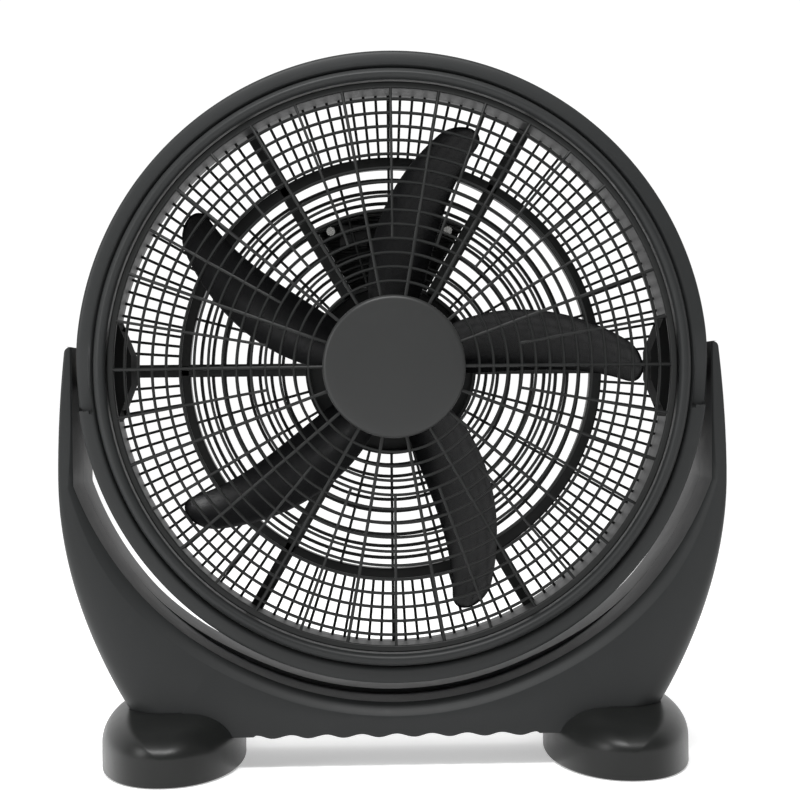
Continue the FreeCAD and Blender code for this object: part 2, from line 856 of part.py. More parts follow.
def make_motor_bell(y_closed, y_open, bearing_y):
    """Cup of the motor case with a bearing seat in its closed end."""
    low, high = sorted((y_closed, y_open))
    way = 1 if y_open > y_closed else -1
    cup = tube(motor_radius, 0, low, high)
    bore = sorted((y_closed + way * motor_wall, y_open))
    cup = cup.cut(tube(stator_radius, 0, bore[0], bore[1]))
    ears = [ear.cut(tube(motor_radius - 1.0, 0, low, high)) for ear in motor_ears(low, high)]
    seat_tube = tube(bearing_radius + 2.5, 0, min(bearing_y), max(bearing_y))
    cup = cup.multiFuse(ears + [seat_tube])
    cup = cup.cut(tube(bearing_radius + running, 0, min(bearing_y), max(bearing_y)))
    cup = cup.cut(tube(shaft_radius + 0.8, 0, low - 1, high + 1))
    for n in range(4):
        cup = cup.cut(tube(screw_radius + loose, 0, low - 1, high + 1,
                           polar(motor_radius + 2.5, 90 * n)))
    return cup


front_bearing_y = (motor_front + motor_wall, motor_front + motor_wall + bearing_width)
rear_bearing_y = (motor_back - motor_wall - bearing_width, motor_back - motor_wall)
core_y = (motor_front + 12.0, motor_back - 14.0)


def make_front_bell():
    return make_motor_bell(motor_front, bell_split, front_bearing_y)


def make_rear_bell():
    bell = make_motor_bell(motor_back, bell_split + seat, rear_bearing_y)
    for x, z in motor_screw_places():
        boss = tube(4.5, 0, motor_back - 7.0, motor_back, (x, z))
        bell = bell.fuse(boss)
        bell = bell.cut(tube(screw_radius + loose, 0, motor_back - 7.5, motor_back + 1, (x, z)))
    return bell


def make_bearing(span):
    return tube(bearing_radius, shaft_radius + running, span[0], span[1])


def make_stator_core():
    core = tube(stator_radius - running, stator_bore, core_y[0], core_y[1])
    slots = []
    for n in range(12):
        slot = Part.makeBox(9.0, core_y[1] - core_y[0] + 2, 4.0,
                            V(stator_bore + 3.0, core_y[0] - 1, -2.0))
        slot.rotate(V(), fan_axis, 30 * n + 15)
        slots.append(slot.translated(centre))
    return core.cut(Part.makeCompound(slots))


def make_windings():
    rings = []
    for start, end in ((core_y[0] - 5.0, core_y[0] - seat), (core_y[1] + seat, core_y[1] + 5.0)):
        ring = tube(42.0, 31.0, start, end)
        rings.append(ring.makeFillet(1.8, [edge for edge in ring.Edges if len(edge.Vertexes) == 1]))
    return Part.makeCompound(rings)


def make_motor_bolts():
    return Part.makeCompound([
        screw_y(*[a + b for a, b in zip(polar(motor_radius + 2.5, 90 * n), (0, pivot_height))],
                motor_front, motor_length - 4.0, 1)
        for n in range(4)])


hub_front = blade_plane - blade_hub_depth / 2


def make_motor_shaft():
    return tube(shaft_radius, 0, hub_front - 6.5, motor_back - motor_wall)


def make_rotor_core():
    return tube(stator_bore - air_gap, shaft_radius + running, core_y[0], core_y[1])


def blade_mid_angle(radius):
    """Middle of the blade, turning clockwise towards the tip, in degrees from the root."""
    share = (radius - blade_hub_radius) / (blade_tip_radius - blade_hub_radius)
    return -4.0 * share - 12.0 * share ** 2


def blade_chord(radius):
    """Width of the blade seen from the front."""
    share = (radius - blade_hub_radius) / (blade_tip_radius - blade_hub_radius)
    return 54.0 + 6.0 * share - 18.0 * share ** 2


def blade_section(radius):
    """Cambered section across the blade, square to its radius."""
    share = (radius - blade_hub_radius) / (blade_tip_radius - blade_hub_radius)
    pitch = math.radians(root_pitch + (tip_pitch - root_pitch) * share)
    half = blade_chord(radius) / 2
    rise = half * math.tan(pitch)
    camber = 4.5
    thick = blade_thickness / 2

    def place(across, y):
        return V(radius, y, across)

    lead = (-half, rise)
    trail = (half, -rise)
    nose = Part.Arc(place(lead[0], lead[1] + thick), place(lead[0] - thick, lead[1]),
                    place(lead[0], lead[1] - thick)).toShape()
    pressure = Part.Arc(place(lead[0], lead[1] - thick),
                        place(0, camber - thick),
                        place(trail[0], trail[1] - thick)).toShape()
    tail = Part.Arc(place(trail[0], trail[1] - thick), place(trail[0] + thick, trail[1]),
                    place(trail[0], trail[1] + thick)).toShape()
    suction = Part.Arc(place(trail[0], trail[1] + thick), place(0, camber + thick),
                       place(lead[0], lead[1] + thick)).toShape()
    wire = Part.Wire([nose, pressure, tail, suction])
    wire.rotate(V(), fan_axis, -blade_mid_angle(radius))
    return wire


def make_blade_wheel():
    """Moulded wheel: hub cup and swept blades with round tips."""
    span = blade_tip_radius - blade_hub_radius
    radii = [blade_hub_radius - 5.0 + (span + 12.0) * n / 5 for n in range(6)]
    blade = Part.makeLoft([blade_section(radius) for radius in radii], True, False)
    reach = Part.makeCylinder(blade_tip_radius, 120, V(0, -60, 0), fan_axis)
    blade = blade.common(reach)
    blades = []
    for n in range(blade_count):
        copy = blade.copy()
        copy.rotate(V(), fan_axis, -(360 / blade_count * n + 18.0))
        blades.append(copy.translated(V(0, blade_plane, 0)))
    back = hub_front + blade_hub_depth
    wall = duct_wall
    cup = turned([
        (0.0, hub_front),
        (blade_hub_radius - 5.0, hub_front),
        (blade_hub_radius - 1.5, hub_front + 1.5, "arc"),
        (blade_hub_radius, hub_front + 5.0),
        (blade_hub_radius, back),
        (blade_hub_radius - wall, back),
        (blade_hub_radius - wall, hub_front + wall + 2.0),
        (9.0, hub_front + wall),
        (9.0, back - 4.0),
        (0.0, back - 4.0),
    ]).translated(-centre)
    inside = Part.makeCylinder(blade_hub_radius - 1.0, 120, V(0, -60, 0), fan_axis)
    wheel = cup.multiFuse([blade.cut(inside) for blade in blades])
    bore = Part.makeCylinder(shaft_radius + loose / 2, 120, V(0, -60, 0), fan_axis)
    return wheel.cut(bore).translated(centre)


def make_blade_nut():
    front = hub_front - 8.0
    return turned([
        (0.0, front),
        (6.0, front + 0.8, "arc"),
        (10.0, front + 4.0),
        (12.0, hub_front - seat),
        (shaft_radius + running, hub_front - seat),
        (shaft_radius + running, front + 1.5),
        (0.0, front + 1.5),
    ])


# Controls
def control_face(inset):
    return Part.Face(window(rear_hub_radius + 1.0 + inset, control_radius - inset, 60, 120,
                            spoke_width / 2 + 0.5 + inset, spoke_width / 2 + 0.5 + inset))


knob_place = (0.0, knob_offset)
gland_place = (38.0, knob_offset + 14.0)


def make_control_box():
    """Tray behind the panel, with screw posts, knob hole and cord hole."""
    tray = along_y(control_face(0), control_front_y, control_back_y)
    tray = tray.cut(along_y(control_face(control_wall), control_front_y - 1,
                            control_back_y - control_wall))
    posts = []
    holes = []
    for x, z in control_screw_places():
        posts.append(Part.makeCylinder(4.2, control_depth - 1, V(x, control_front_y, z), fan_axis))
        holes.append(Part.makeCylinder(screw_radius + loose, 24, V(x, control_front_y - 1, z),
                                       fan_axis))
    posts = [post.common(along_y(control_face(0), control_front_y, control_back_y))
             for post in posts]
    tray = tray.multiFuse(posts)
    holes.append(Part.makeCylinder(knob_shaft_radius + 0.4, 20,
                                   V(knob_place[0], control_back_y - 10, knob_place[1]), fan_axis))
    holes.append(Part.makeCylinder(6.0, 20,
                                   V(gland_place[0], control_back_y - 10, gland_place[1]),
                                   fan_axis))
    return tray.cut(Part.makeCompound(holes)).translated(centre)


def make_cord_gland():
    """Round bush in the cord hole; its flange sits on the back of the tray."""
    body = tube(5.9, 3.6, control_back_y - 6.0, control_back_y + seat, gland_place)
    lip = tube(8.5, 3.6, control_back_y + seat / 2, control_back_y + 2.5, gland_place)
    return body.fuse(lip)


def boxed(width, depth, height, x, y, z):
    """Box given by its size and the middle of its rear face."""
    return Part.makeBox(width, depth, height, V(x - width / 2, y - depth, z - height / 2) + centre)


switch_back = control_back_y - control_wall - seat


def make_speed_switch():
    body = boxed(26.0, 20.0, 24.0, knob_place[0], switch_back, knob_place[1])
    body = body.cut(tube(knob_shaft_radius + running, 0, switch_back - 14.0, switch_back + 1,
                         knob_place))
    lugs = [boxed(3.0, 5.0, 0.8, x, switch_back - 20.0, knob_place[1] + z)
            for x in (-8.0, 0.0, 8.0) for z in (-6.0, 6.0)]
    return body.multiFuse(lugs)


def make_switch_shaft():
    return tube(knob_shaft_radius, 0, switch_back - 13.0, control_back_y + knob_height - 4.0,
                knob_place)


def make_speed_knob():
    """Round knob with a grip bar and a pointer groove."""
    base = control_back_y + 0.5
    skirt = tube(knob_radius, 0, base, base + 4.5, knob_place)
    grip = tube(knob_radius - 4.0, 0, base + 4.0, base + knob_height, knob_place)
    bar = Part.makeBox(9.0, knob_height - 4.0, 2 * knob_radius + 4.0,
                       V(-4.5, base + 4.0, knob_place[1] - knob_radius - 2.0) + centre)
    bar = bar.common(tube(knob_radius - 0.4, 0, base + 3.0, base + knob_height, knob_place))
    knob = skirt.multiFuse([grip, bar])
    groove = Part.makeBox(1.6, 2.0, knob_radius - 4.0,
                          V(-0.8, base + knob_height - 1.0, knob_place[1] + 2.0) + centre)
    knob = knob.cut(groove)
    return knob.cut(tube(knob_shaft_radius + running / 2, 0, base - 1,
                         control_back_y + knob_height - 3.8, knob_place))


def make_capacitor():
    return boxed(26.0, 16.0, 20.0, -34.0, switch_back, knob_place[1] + 12.0)


def make_terminal_block():
    return boxed(16.0, 11.0, 9.0, 24.0, control_front_y + 14.0, knob_place[1] + 24.0)


def make_nodes():
    tray_screw_y = rear_plane + 2.0
    motor_screw_y = rear_plane + spoke_depth
    flange_places = [polar(flange_screw_radius, angle) for angle in grille_screw_angles()]
    return {
        "stand_front_shell": make_stand_shell(-1),
        "stand_rear_shell": make_stand_shell(1),
        "stand_screws": make_stand_screws(),
        "left_foot": make_foot(-1),
        "right_foot": make_foot(1),
        "foot_screws": make_foot_screws(),
        "rubber_pads": make_rubber_pads(),
        "left_pivot_bolt": make_pivot_bolt(-1),
        "right_pivot_bolt": make_pivot_bolt(1),
        "pivot_nuts": make_pivot_nuts(),
        "friction_washers": make_friction_washers(),
        "spring_washers": make_spring_washers(),
        "duct_ring": make_duct_ring(),
        "drum_shell": make_drum_shell(),
        "pivot_sleeves": make_pivot_sleeves(),
        "left_pivot_housing": make_pivot_housing(-1),
        "right_pivot_housing": make_pivot_housing(1),
        "front_grille": make_front_grille(),
        "hub_cap": make_hub_cap(),
        "rear_grille": make_rear_grille(),
        "rear_trim_ring": make_rear_trim_ring(),
        "trim_ring_screws": place_screws(flange_places, flange_y + duct_wall, 16.0, -1),
        "motor_front_bell": make_front_bell(),
        "motor_rear_bell": make_rear_bell(),
        "motor_bolts": make_motor_bolts(),
        "motor_mount_screws": place_screws(motor_screw_places(), motor_screw_y, 10.0, -1),
        "front_bearing": make_bearing(front_bearing_y),
        "rear_bearing": make_bearing(rear_bearing_y),
        "stator_core": make_stator_core(),
        "stator_windings": make_windings(),
        "rotor_core": make_rotor_core(),
        "motor_shaft": make_motor_shaft(),
        "blade_wheel": make_blade_wheel(),
        "blade_nut": make_blade_nut(),
        "control_box": make_control_box(),
        "control_screws": place_screws(control_screw_places(), tray_screw_y, 18.0, 1),
        "cord_gland": make_cord_gland(),
        "speed_switch": make_speed_switch(),
        "switch_shaft": make_switch_shaft(),
        "speed_knob": make_speed_knob(),
        "capacitor": make_capacitor(),
        "terminal_block": make_terminal_block(),
    }


os.makedirs("parts", exist_ok=True)
for name, shape in make_nodes().items():
    box = shape.BoundBox
    print(f"{name:22s} solids {len(shape.Solids)} valid {shape.isValid()} "
          f"x {box.XMin:.1f}..{box.XMax:.1f} y {box.YMin:.1f}..{box.YMax:.1f} "
          f"z {box.ZMin:.1f}..{box.ZMax:.1f}")
    shape.exportStep(f"parts/{name}.step")
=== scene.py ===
import bmesh
import bpy
import json
import math
import numpy as np
from mathutils import Matrix, Vector


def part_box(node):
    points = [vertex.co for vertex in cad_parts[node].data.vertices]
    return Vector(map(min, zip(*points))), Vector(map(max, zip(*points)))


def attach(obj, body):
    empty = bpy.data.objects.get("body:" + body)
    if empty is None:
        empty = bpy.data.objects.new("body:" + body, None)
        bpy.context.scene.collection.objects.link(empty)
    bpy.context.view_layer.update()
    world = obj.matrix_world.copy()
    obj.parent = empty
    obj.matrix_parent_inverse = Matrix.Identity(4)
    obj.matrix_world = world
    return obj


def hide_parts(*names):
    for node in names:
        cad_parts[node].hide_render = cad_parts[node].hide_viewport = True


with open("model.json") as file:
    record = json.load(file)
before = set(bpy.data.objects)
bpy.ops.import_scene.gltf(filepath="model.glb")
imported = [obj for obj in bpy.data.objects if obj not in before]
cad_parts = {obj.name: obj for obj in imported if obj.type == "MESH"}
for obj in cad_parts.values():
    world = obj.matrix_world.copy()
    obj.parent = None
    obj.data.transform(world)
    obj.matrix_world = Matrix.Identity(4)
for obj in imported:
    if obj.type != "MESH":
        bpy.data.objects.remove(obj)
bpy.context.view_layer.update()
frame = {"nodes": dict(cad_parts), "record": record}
nodes_by_name = frame["nodes"]
MM = 0.001

# ---------------------------------------------------------------- Stand shells
# Two hollow mouldings of charcoal ABS, front and rear, that meet in a seam along the middle of
# the U and are held by screws from behind. The cradle's edge is bevelled, and the outer edge
# rounds off more and more towards the feet. Satin skin with a fine spark-eroded grain.


class Nodes:
    """A node tree with one method that adds any node and links or sets its inputs."""

    def __init__(self, tree):
        self.tree = tree

    def add(self, kind, *inputs, out=0, named=None, **settings):
        node = self.tree.nodes.new(kind)
        for key, value in settings.items():
            setattr(node, key, value)
        for key, value in list(enumerate(inputs)) + list((named or {}).items()):
            if isinstance(value, Value):
                self.tree.links.new(value.socket, node.inputs[key])
            elif value is not None:
                node.inputs[key].default_value = value
        return Value(self, node.outputs[out])


class Value:
    """One socket of a node tree; arithmetic on it adds math nodes."""

    def __init__(self, nodes, socket):
        self.nodes = nodes
        self.socket = socket

    def maths(self, operation, *others):
        return self.nodes.add("ShaderNodeMath", self, *others, operation=operation)

    def __add__(self, other):
        return self.maths("ADD", other)

    def __sub__(self, other):
        return self.maths("SUBTRACT", other)

    def __mul__(self, other):
        return self.maths("MULTIPLY", other)

    def __truediv__(self, other):
        return self.maths("DIVIDE", other)

    def __rsub__(self, other):
        return self * -1.0 + other

    __radd__ = __add__
    __rmul__ = __mul__

    def clamp(self, low, high):
        return self.maths("MAXIMUM", low).maths("MINIMUM", high)


def surface(name, colour, roughness, metallic=0.0, coat=0.0, grain=0.02, grain_size=0.5,
            mottle=0.10, wear=0.06, sheen=0.5, lines=0.0, line_pitch=1.0, line_axis=2):
    """Material with broad mottling, fine grain, faint wear and, if asked, straight tool lines."""
    material = bpy.data.materials.new(name)
    material.use_nodes = True
    nodes = Nodes(material.node_tree)
    shader = material.node_tree.nodes["Principled BSDF"]
    place = nodes.add("ShaderNodeTexCoord", out="Object")

    def noise(scale, detail, distortion=0.0):
        return nodes.add("ShaderNodeTexNoise", out="Fac", named={
            "Vector": place, "Scale": scale, "Detail": detail, "Roughness": 0.6,
            "Distortion": distortion})

    broad = noise(11.0, 3.0)
    patch = noise(70.0, 5.0, 0.4)
    fine = noise(1.0 / (grain_size * MM), 2.0)
    handled = ((patch - 0.60) * 7.0).clamp(0.0, 1.0)
    shade = 1.0 + (broad - 0.5) * (2.0 * mottle) + (fine - 0.5) * mottle + handled * wear
    tint = nodes.add("ShaderNodeCombineColor", shade * colour[0], shade * colour[1],
                     shade * colour[2])
    rough = roughness + (broad - 0.5) * 0.14 + (patch - 0.5) * 0.10 - handled * wear * 0.7
    height = fine * grain + patch * (grain * 0.6)
    if lines:
        split = nodes.add("ShaderNodeSeparateXYZ", place, out=line_axis)
        wave = (split * (2.0 * math.pi / (line_pitch * MM))).maths("SINE")
        height = height + wave * lines
        shade_lines = 1.0 + wave * 0.12
        tint = nodes.add("ShaderNodeCombineColor", shade * shade_lines * colour[0],
                         shade * shade_lines * colour[1], shade * shade_lines * colour[2])
    bump = nodes.add("ShaderNodeBump", named={"Height": height, "Distance": MM,
                                              "Strength": 0.8})
    links = material.node_tree.links
    links.new(tint.socket, shader.inputs["Base Color"])
    links.new(rough.clamp(0.04, 0.95).socket, shader.inputs["Roughness"])
    links.new(bump.socket, shader.inputs["Normal"])
    shader.inputs["Metallic"].default_value = metallic
    shader.inputs["Coat Weight"].default_value = coat
    shader.inputs["Coat Roughness"].default_value = 0.12
    shader.inputs["Specular IOR Level"].default_value = sheen
    return material


def mesh_piece(name, corners, faces, material, body, slot, replaced, smooth=40.0):
    """Makes a finished piece from corners in metres, hung on its body in place of the parts it
    replaces.
    """
    mesh = bpy.data.meshes.new(name)
    mesh.from_pydata([tuple(c) for c in corners], [], [tuple(f) for f in faces])
    piece = bpy.data.objects.new(name, mesh)
    bpy.context.scene.collection.objects.link(piece)
    return declare(piece, material, body, replaced, smooth)


def declare(piece, material, body, replaced, smooth=40.0):
    """Cleans a piece, shades it, hangs it on its body's empty and hides the parts it replaces."""
    mesh = piece.data
    made = bmesh.new()
    made.from_mesh(mesh)
    bmesh.ops.remove_doubles(made, verts=made.verts, dist=1e-6)
    bmesh.ops.dissolve_degenerate(made, edges=made.edges, dist=1e-7)
    bmesh.ops.recalc_face_normals(made, faces=made.faces)
    made.to_mesh(mesh)
    made.free()
    mesh.materials.clear()
    mesh.materials.append(material)
    for polygon in mesh.polygons:
        polygon.material_index = 0
    mesh.shade_smooth()
    mesh.set_sharp_from_angle(angle=math.radians(smooth))
    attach(piece, body)
    if replaced:
        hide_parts(*replaced)
    return piece


def joined(parts):
    """One list of corners and faces from several."""
    corners, faces, start = [], [], 0
    for part_corners, part_faces in parts:
        corners += [tuple(c) for c in part_corners]
        faces += [tuple(start + i for i in f) for f in part_faces]
        start += len(part_corners)
    return corners, faces


charcoal = surface("charcoal_plastic_skin", (0.0205, 0.0216, 0.0218), 0.43, sheen=0.20, grain=0.05,
                   grain_size=0.55)

# The stand's own measures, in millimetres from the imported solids
ring_low, ring_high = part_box("duct_ring")
stand_low, stand_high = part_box("stand_front_shell")
foot_low, foot_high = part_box("right_foot")
hub_z = (ring_low.z + ring_high.z) / 2 / MM
ring_r = (ring_high.x - ring_low.x) / 2 / MM
arm_top = stand_high.z / MM
half_width = stand_high.x / MM
stand_front = stand_low.y / MM
arm_inner = ring_r + 5.0
saddle_r = ring_r + 23.0
foot_in, foot_out = foot_low.x / MM + 9.5, foot_high.x / MM + 9.0
foot_top = foot_high.z / MM
foot_curve = 47.0
seam_round = 41.0
seam_x = foot_in + 52.5
seam_top = foot_top - 3.0
seam_z = seam_top - seam_round
waist_z = hub_z - 100.0
underside_z = 30.0
wave_height = 1.5
wave_pitch = 31.4
wave_end = 126.0


def bulge_centre(x_end, z_end):
    drop = half_width - x_end
    return half_width - (drop ** 2 + (z_end - waist_z) ** 2) / (2 * drop)


seam_end = foot_out - 26.0
arm_corner = 6.0
low_bulge = bulge_centre(seam_end, foot_top)
high_bulge = bulge_centre(half_width - 7.0, arm_top)


def ray_to_circle(angle, cx, cz, radius):
    """Far distance along a ray from the hub to a circle."""
    dx, dz = math.cos(angle), math.sin(angle)
    b = dx * cx + dz * (cz - hub_z)
    c = cx ** 2 + (cz - hub_z) ** 2 - radius ** 2
    inside = b * b - c
    return b + math.sqrt(inside) if inside > 0 else 0.0


def outer_reach(angle):
    """Distance from the hub to the stand's outline, and whether that is the rounded side."""
    dx, dz = math.cos(angle), math.sin(angle)
    for centre_x, from_z, to_z in ((low_bulge, seam_top, waist_z),
                                   (high_bulge, waist_z, arm_top)):
        reach = ray_to_circle(angle, centre_x, waist_z, half_width - centre_x)
        height = hub_z + reach * dz
        if from_z - 0.05 <= height <= to_z + 0.05:
            over = max(0.0, min(1.0, (height - arm_top + arm_corner) / arm_corner))
            return reach - arm_corner * (1 - math.sqrt(1 - over * over)), True
    if dz > 0:
        return (arm_top - hub_z) / dz, True
    over_foot = (hub_z - seam_top) / -dz
    if over_foot * dx >= seam_x:
        return over_foot, False
    seam = ray_to_circle(angle, seam_x, seam_z, seam_round)
    x_low = (hub_z - underside_z) / -dz * dx
    ripple = wave_height * math.cos(2 * math.pi * x_low / wave_pitch) if x_low < wave_end else 0.0
    low = (hub_z - underside_z - ripple) / -dz
    if x_low > foot_in - 2.0 and 0 < seam < low:
        return seam, False
    return low, False


def eased(value, low, high):
    t = min(1.0, max(0.0, (value - low) / (high - low)))
    return t * t * (3 - 2 * t)


def side_round(x, z):
    """How far the front face has curved back at this place near the outer side."""
    centre_x = low_bulge if z < waist_z else high_bulge
    depth = (half_width - centre_x) - math.hypot(x - centre_x, z - waist_z)
    radius = 2.2 + 24.0 * eased(waist_z + 15.0 - z, 0.0, 200.0)
    if depth >= radius:
        return 0.0
    return radius - math.sqrt(max(0.0, radius ** 2 - (radius - max(depth, 0.0)) ** 2))


def stand_column(angle, lip):
    """One radial slice from the seam, over the outer side and face, down the cradle's bevel."""
    dx, dz = math.cos(angle), math.sin(angle)
    low_share = 1.0 - eased(math.degrees(angle), -68.0, -40.0)
    inner = saddle_r - lip * low_share
    if dx > 0 and inner * dx > arm_inner:
        inner = arm_inner / dx
    outer, rounded = outer_reach(angle)
    length = outer - inner
    share = eased(math.degrees(angle), -40.0, -8.0)
    bevel = 11.5 * (1 - share) + 1.6 * share
    drop = 8.5 * (1 - share) + 1.8 * share
    fit = min(1.0, 0.5 * length / 30.0)
    rows = [(outer, 0.0, True)]
    for step in (0.0, 0.12, 0.35, 0.7, 1.2, 2.0, 3.0, 4.5, 6.5, 9.0, 12.0, 16.0, 21.0, 28.0):
        rows.append((outer - step * fit, 0.0, False))
    rows.append((inner + bevel, 0.0, False))
    rows.append((inner + bevel - 0.4, 0.15, False))
    rows.append((inner + 0.6, drop - 0.6, False))
    rows.append((inner, drop + 0.2, False))
    rows.append((inner, 0.0, True))
    column = []
    for distance, back, at_seam in rows:
        x, z = distance * dx, hub_z + distance * dz
        y = stand_front + side_round(x, z) + back
        edge = outer - distance
        if not rounded and edge < 1.2:
            y += 1.2 - math.sqrt(1.44 - (1.2 - edge) ** 2)
        if at_seam:
            y = -0.2
        column.append((x, y, z))
    return column


def stand_shell_mesh(lip):
    top_angle = math.atan2(arm_top - hub_z - 0.02, arm_inner + 4.5)
    seam_ends = [math.atan2(seam_top - hub_z, seam_x),
                 math.atan2(foot_top - hub_z, seam_end)]
    angles = list(np.radians(np.arange(-90.0, math.degrees(top_angle), 0.25)))
    angles += list(np.radians(np.linspace(math.degrees(top_angle) - 1.3,
                                          math.degrees(top_angle), 14)))
    angles = sorted(set(angles + seam_ends + [top_angle]))
    columns = [stand_column(a, lip) for a in angles]
    full = [[(-x, y, z) for x, y, z in c] for c in reversed(columns[1:])] + columns
    corners, faces = [], []
    rows = len(full[0])
    for column in full:
        corners += [(x * MM, y * MM, z * MM) for x, y, z in column]
    for c in range(len(full) - 1):
        for r in range(rows):
            s = (r + 1) % rows
            faces.append((c * rows + r, c * rows + s, (c + 1) * rows + s, (c + 1) * rows + r))
    faces.append(tuple(range(rows)))
    faces.append(tuple((len(full) - 1) * rows + r for r in reversed(range(rows))))
    return corners, faces


front_lip, rear_lip = 3.5, 6.5
shell_corners, shell_faces = stand_shell_mesh(front_lip)
mesh_piece("front_shell_skin", shell_corners, shell_faces, charcoal, "stand",
           "charcoal_plastic", ["stand_front_shell"], 22.0)
shell_corners, shell_faces = stand_shell_mesh(rear_lip)
mesh_piece("rear_shell_skin", [(x, -y, z) for x, y, z in shell_corners], shell_faces, charcoal,
           "stand", "charcoal_plastic", ["stand_rear_shell"], 22.0)

# ---------------------------------------------------------------- Feet
# Hollow loaf-shaped mouldings under the ends of the U, one screw each end up into the stand.
# The same plastic as the stand, coloured darker as painted shade, and a little softer to look at.
wall_top = 24.0
# Painted shade: the feet's colour is set darker than the stand's plastic to stand in for less light
# on them.
foot_painted_shade = surface("foot_plastic_painted_shade", (0.0105, 0.0112, 0.0107), 0.36, sheen=0.30, grain=0.05,
                    grain_size=0.6)


def foot_section():
    """Cross-section of the foot's middle as (x, z) in millimetres, anticlockwise."""
    points = []
    sole, edge = 1.0, 2.0

    def arc(cx, cz, rx, rz, start, end, count):
        for k in range(count + 1):
            a = math.radians(start + (end - start) * k / count)
            points.append((cx + rx * math.cos(a), cz + rz * math.sin(a)))

    arc(foot_out - edge, sole + edge, edge, edge, -90, 0, 5)
    arc(foot_out - 30.0, wall_top, 30.0, foot_top - wall_top, 0, 90, 16)
    arc(foot_in + foot_curve, wall_top, foot_curve, foot_top - wall_top, 90, 180, 24)
    arc(foot_in + edge, sole + edge, edge, edge, 180, 270, 5)
    for k in range(1, 8):
        points.append((foot_in + edge + (foot_out - foot_in - 2 * edge) * k / 8, sole))
    return points


def foot_mesh(side):
    section = foot_section()
    half = foot_high.y / MM
    middle = (foot_in + foot_out) / 2
    corners, faces = [], []
    stations = 72
    for k in range(stations + 1):
        t = -math.cos(math.pi * k / stations)
        near = min(0.99999, abs(t))
        wide = (1 - near ** 2.15) ** (1 / 2.15)
        dome = (1 - near ** 2.5) ** 0.5
        for x, z in section:
            high = wall_top + (z - wall_top) * dome if z > wall_top else z
            corners.append((side * (middle + (x - middle) * wide) * MM, t * half * MM,
                            high * MM))
    count = len(section)
    for c in range(stations):
        for r in range(count):
            s = (r + 1) % count
            faces.append((c * count + r, c * count + s, (c + 1) * count + s,
                          (c + 1) * count + r))
    faces.append(tuple(range(count)))
    faces.append(tuple(stations * count + r for r in reversed(range(count))))
    return corners, faces


for foot_side, foot_name in ((-1, "left_foot"), (1, "right_foot")):
    mesh_piece(foot_name + "_skin", *foot_mesh(foot_side), foot_painted_shade, "stand",
               "charcoal_plastic", [foot_name], 50.0)

# ---------------------------------------------------------------- Rubber pads
# Four round pads of matt rubber pressed into each foot's sole.
rubber = surface("rubber_skin", (0.017, 0.017, 0.017), 0.82, grain=0.07, grain_size=0.9)


def pad_mesh(cx, cy):
    """Round pad with a softened lower edge, standing on the floor."""
    corners, faces = [], []
    rows = ((0.0, 3.2), (12.9, 3.2), (13.0, 0.9), (12.6, 0.3), (12.0, 0.0), (0.0, 0.0))
    count = 40
    for k in range(count):
        a = 2 * math.pi * k / count
        for radius, z in rows:
            corners.append(((cx + radius * math.cos(a)) * MM, (cy + radius * math.sin(a)) * MM,
                            z * MM))
    for k in range(count):
        n = (k + 1) % count
        for r in range(len(rows) - 1):
            faces.append((k * len(rows) + r, k * len(rows) + r + 1, n * len(rows) + r + 1,
                          n * len(rows) + r))
    return corners, faces


pad_x = (foot_in + foot_out) / 2
pads = [pad_mesh(side * (pad_x + off), y) for side in (-1, 1) for off in (-31.0, 31.0)
        for y in (-84.0, 84.0)]
mesh_piece("rubber_pads_skin", *joined(pads), rubber, "stand", "soft_rubber",
           ["rubber_pads"], 40.0)

# ---------------------------------------------------------------- Front ring
# One moulded wall: outer skirt, flat rim band with a ramped recess at each pivot, a groove, a
# rounded bead and the throat that the blades turn in. It is pressed onto the rear drum.


def lathe(profile, angles, shape=None):
    """Closed ring of (radius, y) millimetres about the fan axis; shape may move each corner."""
    corners, faces = [], []
    count = len(profile)
    for angle in angles:
        for radius, y in profile:
            r, back = shape(radius, y, angle) if shape else (radius, y)
            corners.append((r * math.cos(angle) * MM, back * MM,
                            (hub_z + r * math.sin(angle)) * MM))
    for a in range(len(angles)):
        b = (a + 1) % len(angles)
        for p in range(count):
            q = (p + 1) % count
            faces.append((a * count + p, a * count + q, b * count + q, b * count + p))
    return corners, faces


def skin_profile(line, wall):
    """Closed outline around a smooth line of a wall's middle."""
    points = [np.array(p, float) for p in line]
    fine = []
    for i in range(len(points) - 1):
        p0, p1 = points[max(i - 1, 0)], points[i]
        p2, p3 = points[i + 1], points[min(i + 2, len(points) - 1)]
        for k in range(6):
            t = k / 6
            fine.append(0.5 * (2 * p1 + (p2 - p0) * t + (2 * p0 - 5 * p1 + 4 * p2 - p3) * t ** 2
                               + (3 * p1 - p0 - 3 * p2 + p3) * t ** 3))
    fine.append(points[-1])
    fine = np.array(fine)
    way = np.gradient(fine, axis=0)
    way /= np.linalg.norm(way, axis=1)[:, None]
    across = np.stack([-way[:, 1], way[:, 0]], axis=1) * wall / 2
    outline = list(fine + across) + list((fine - across)[::-1])
    return [tuple(p) for p in outline]


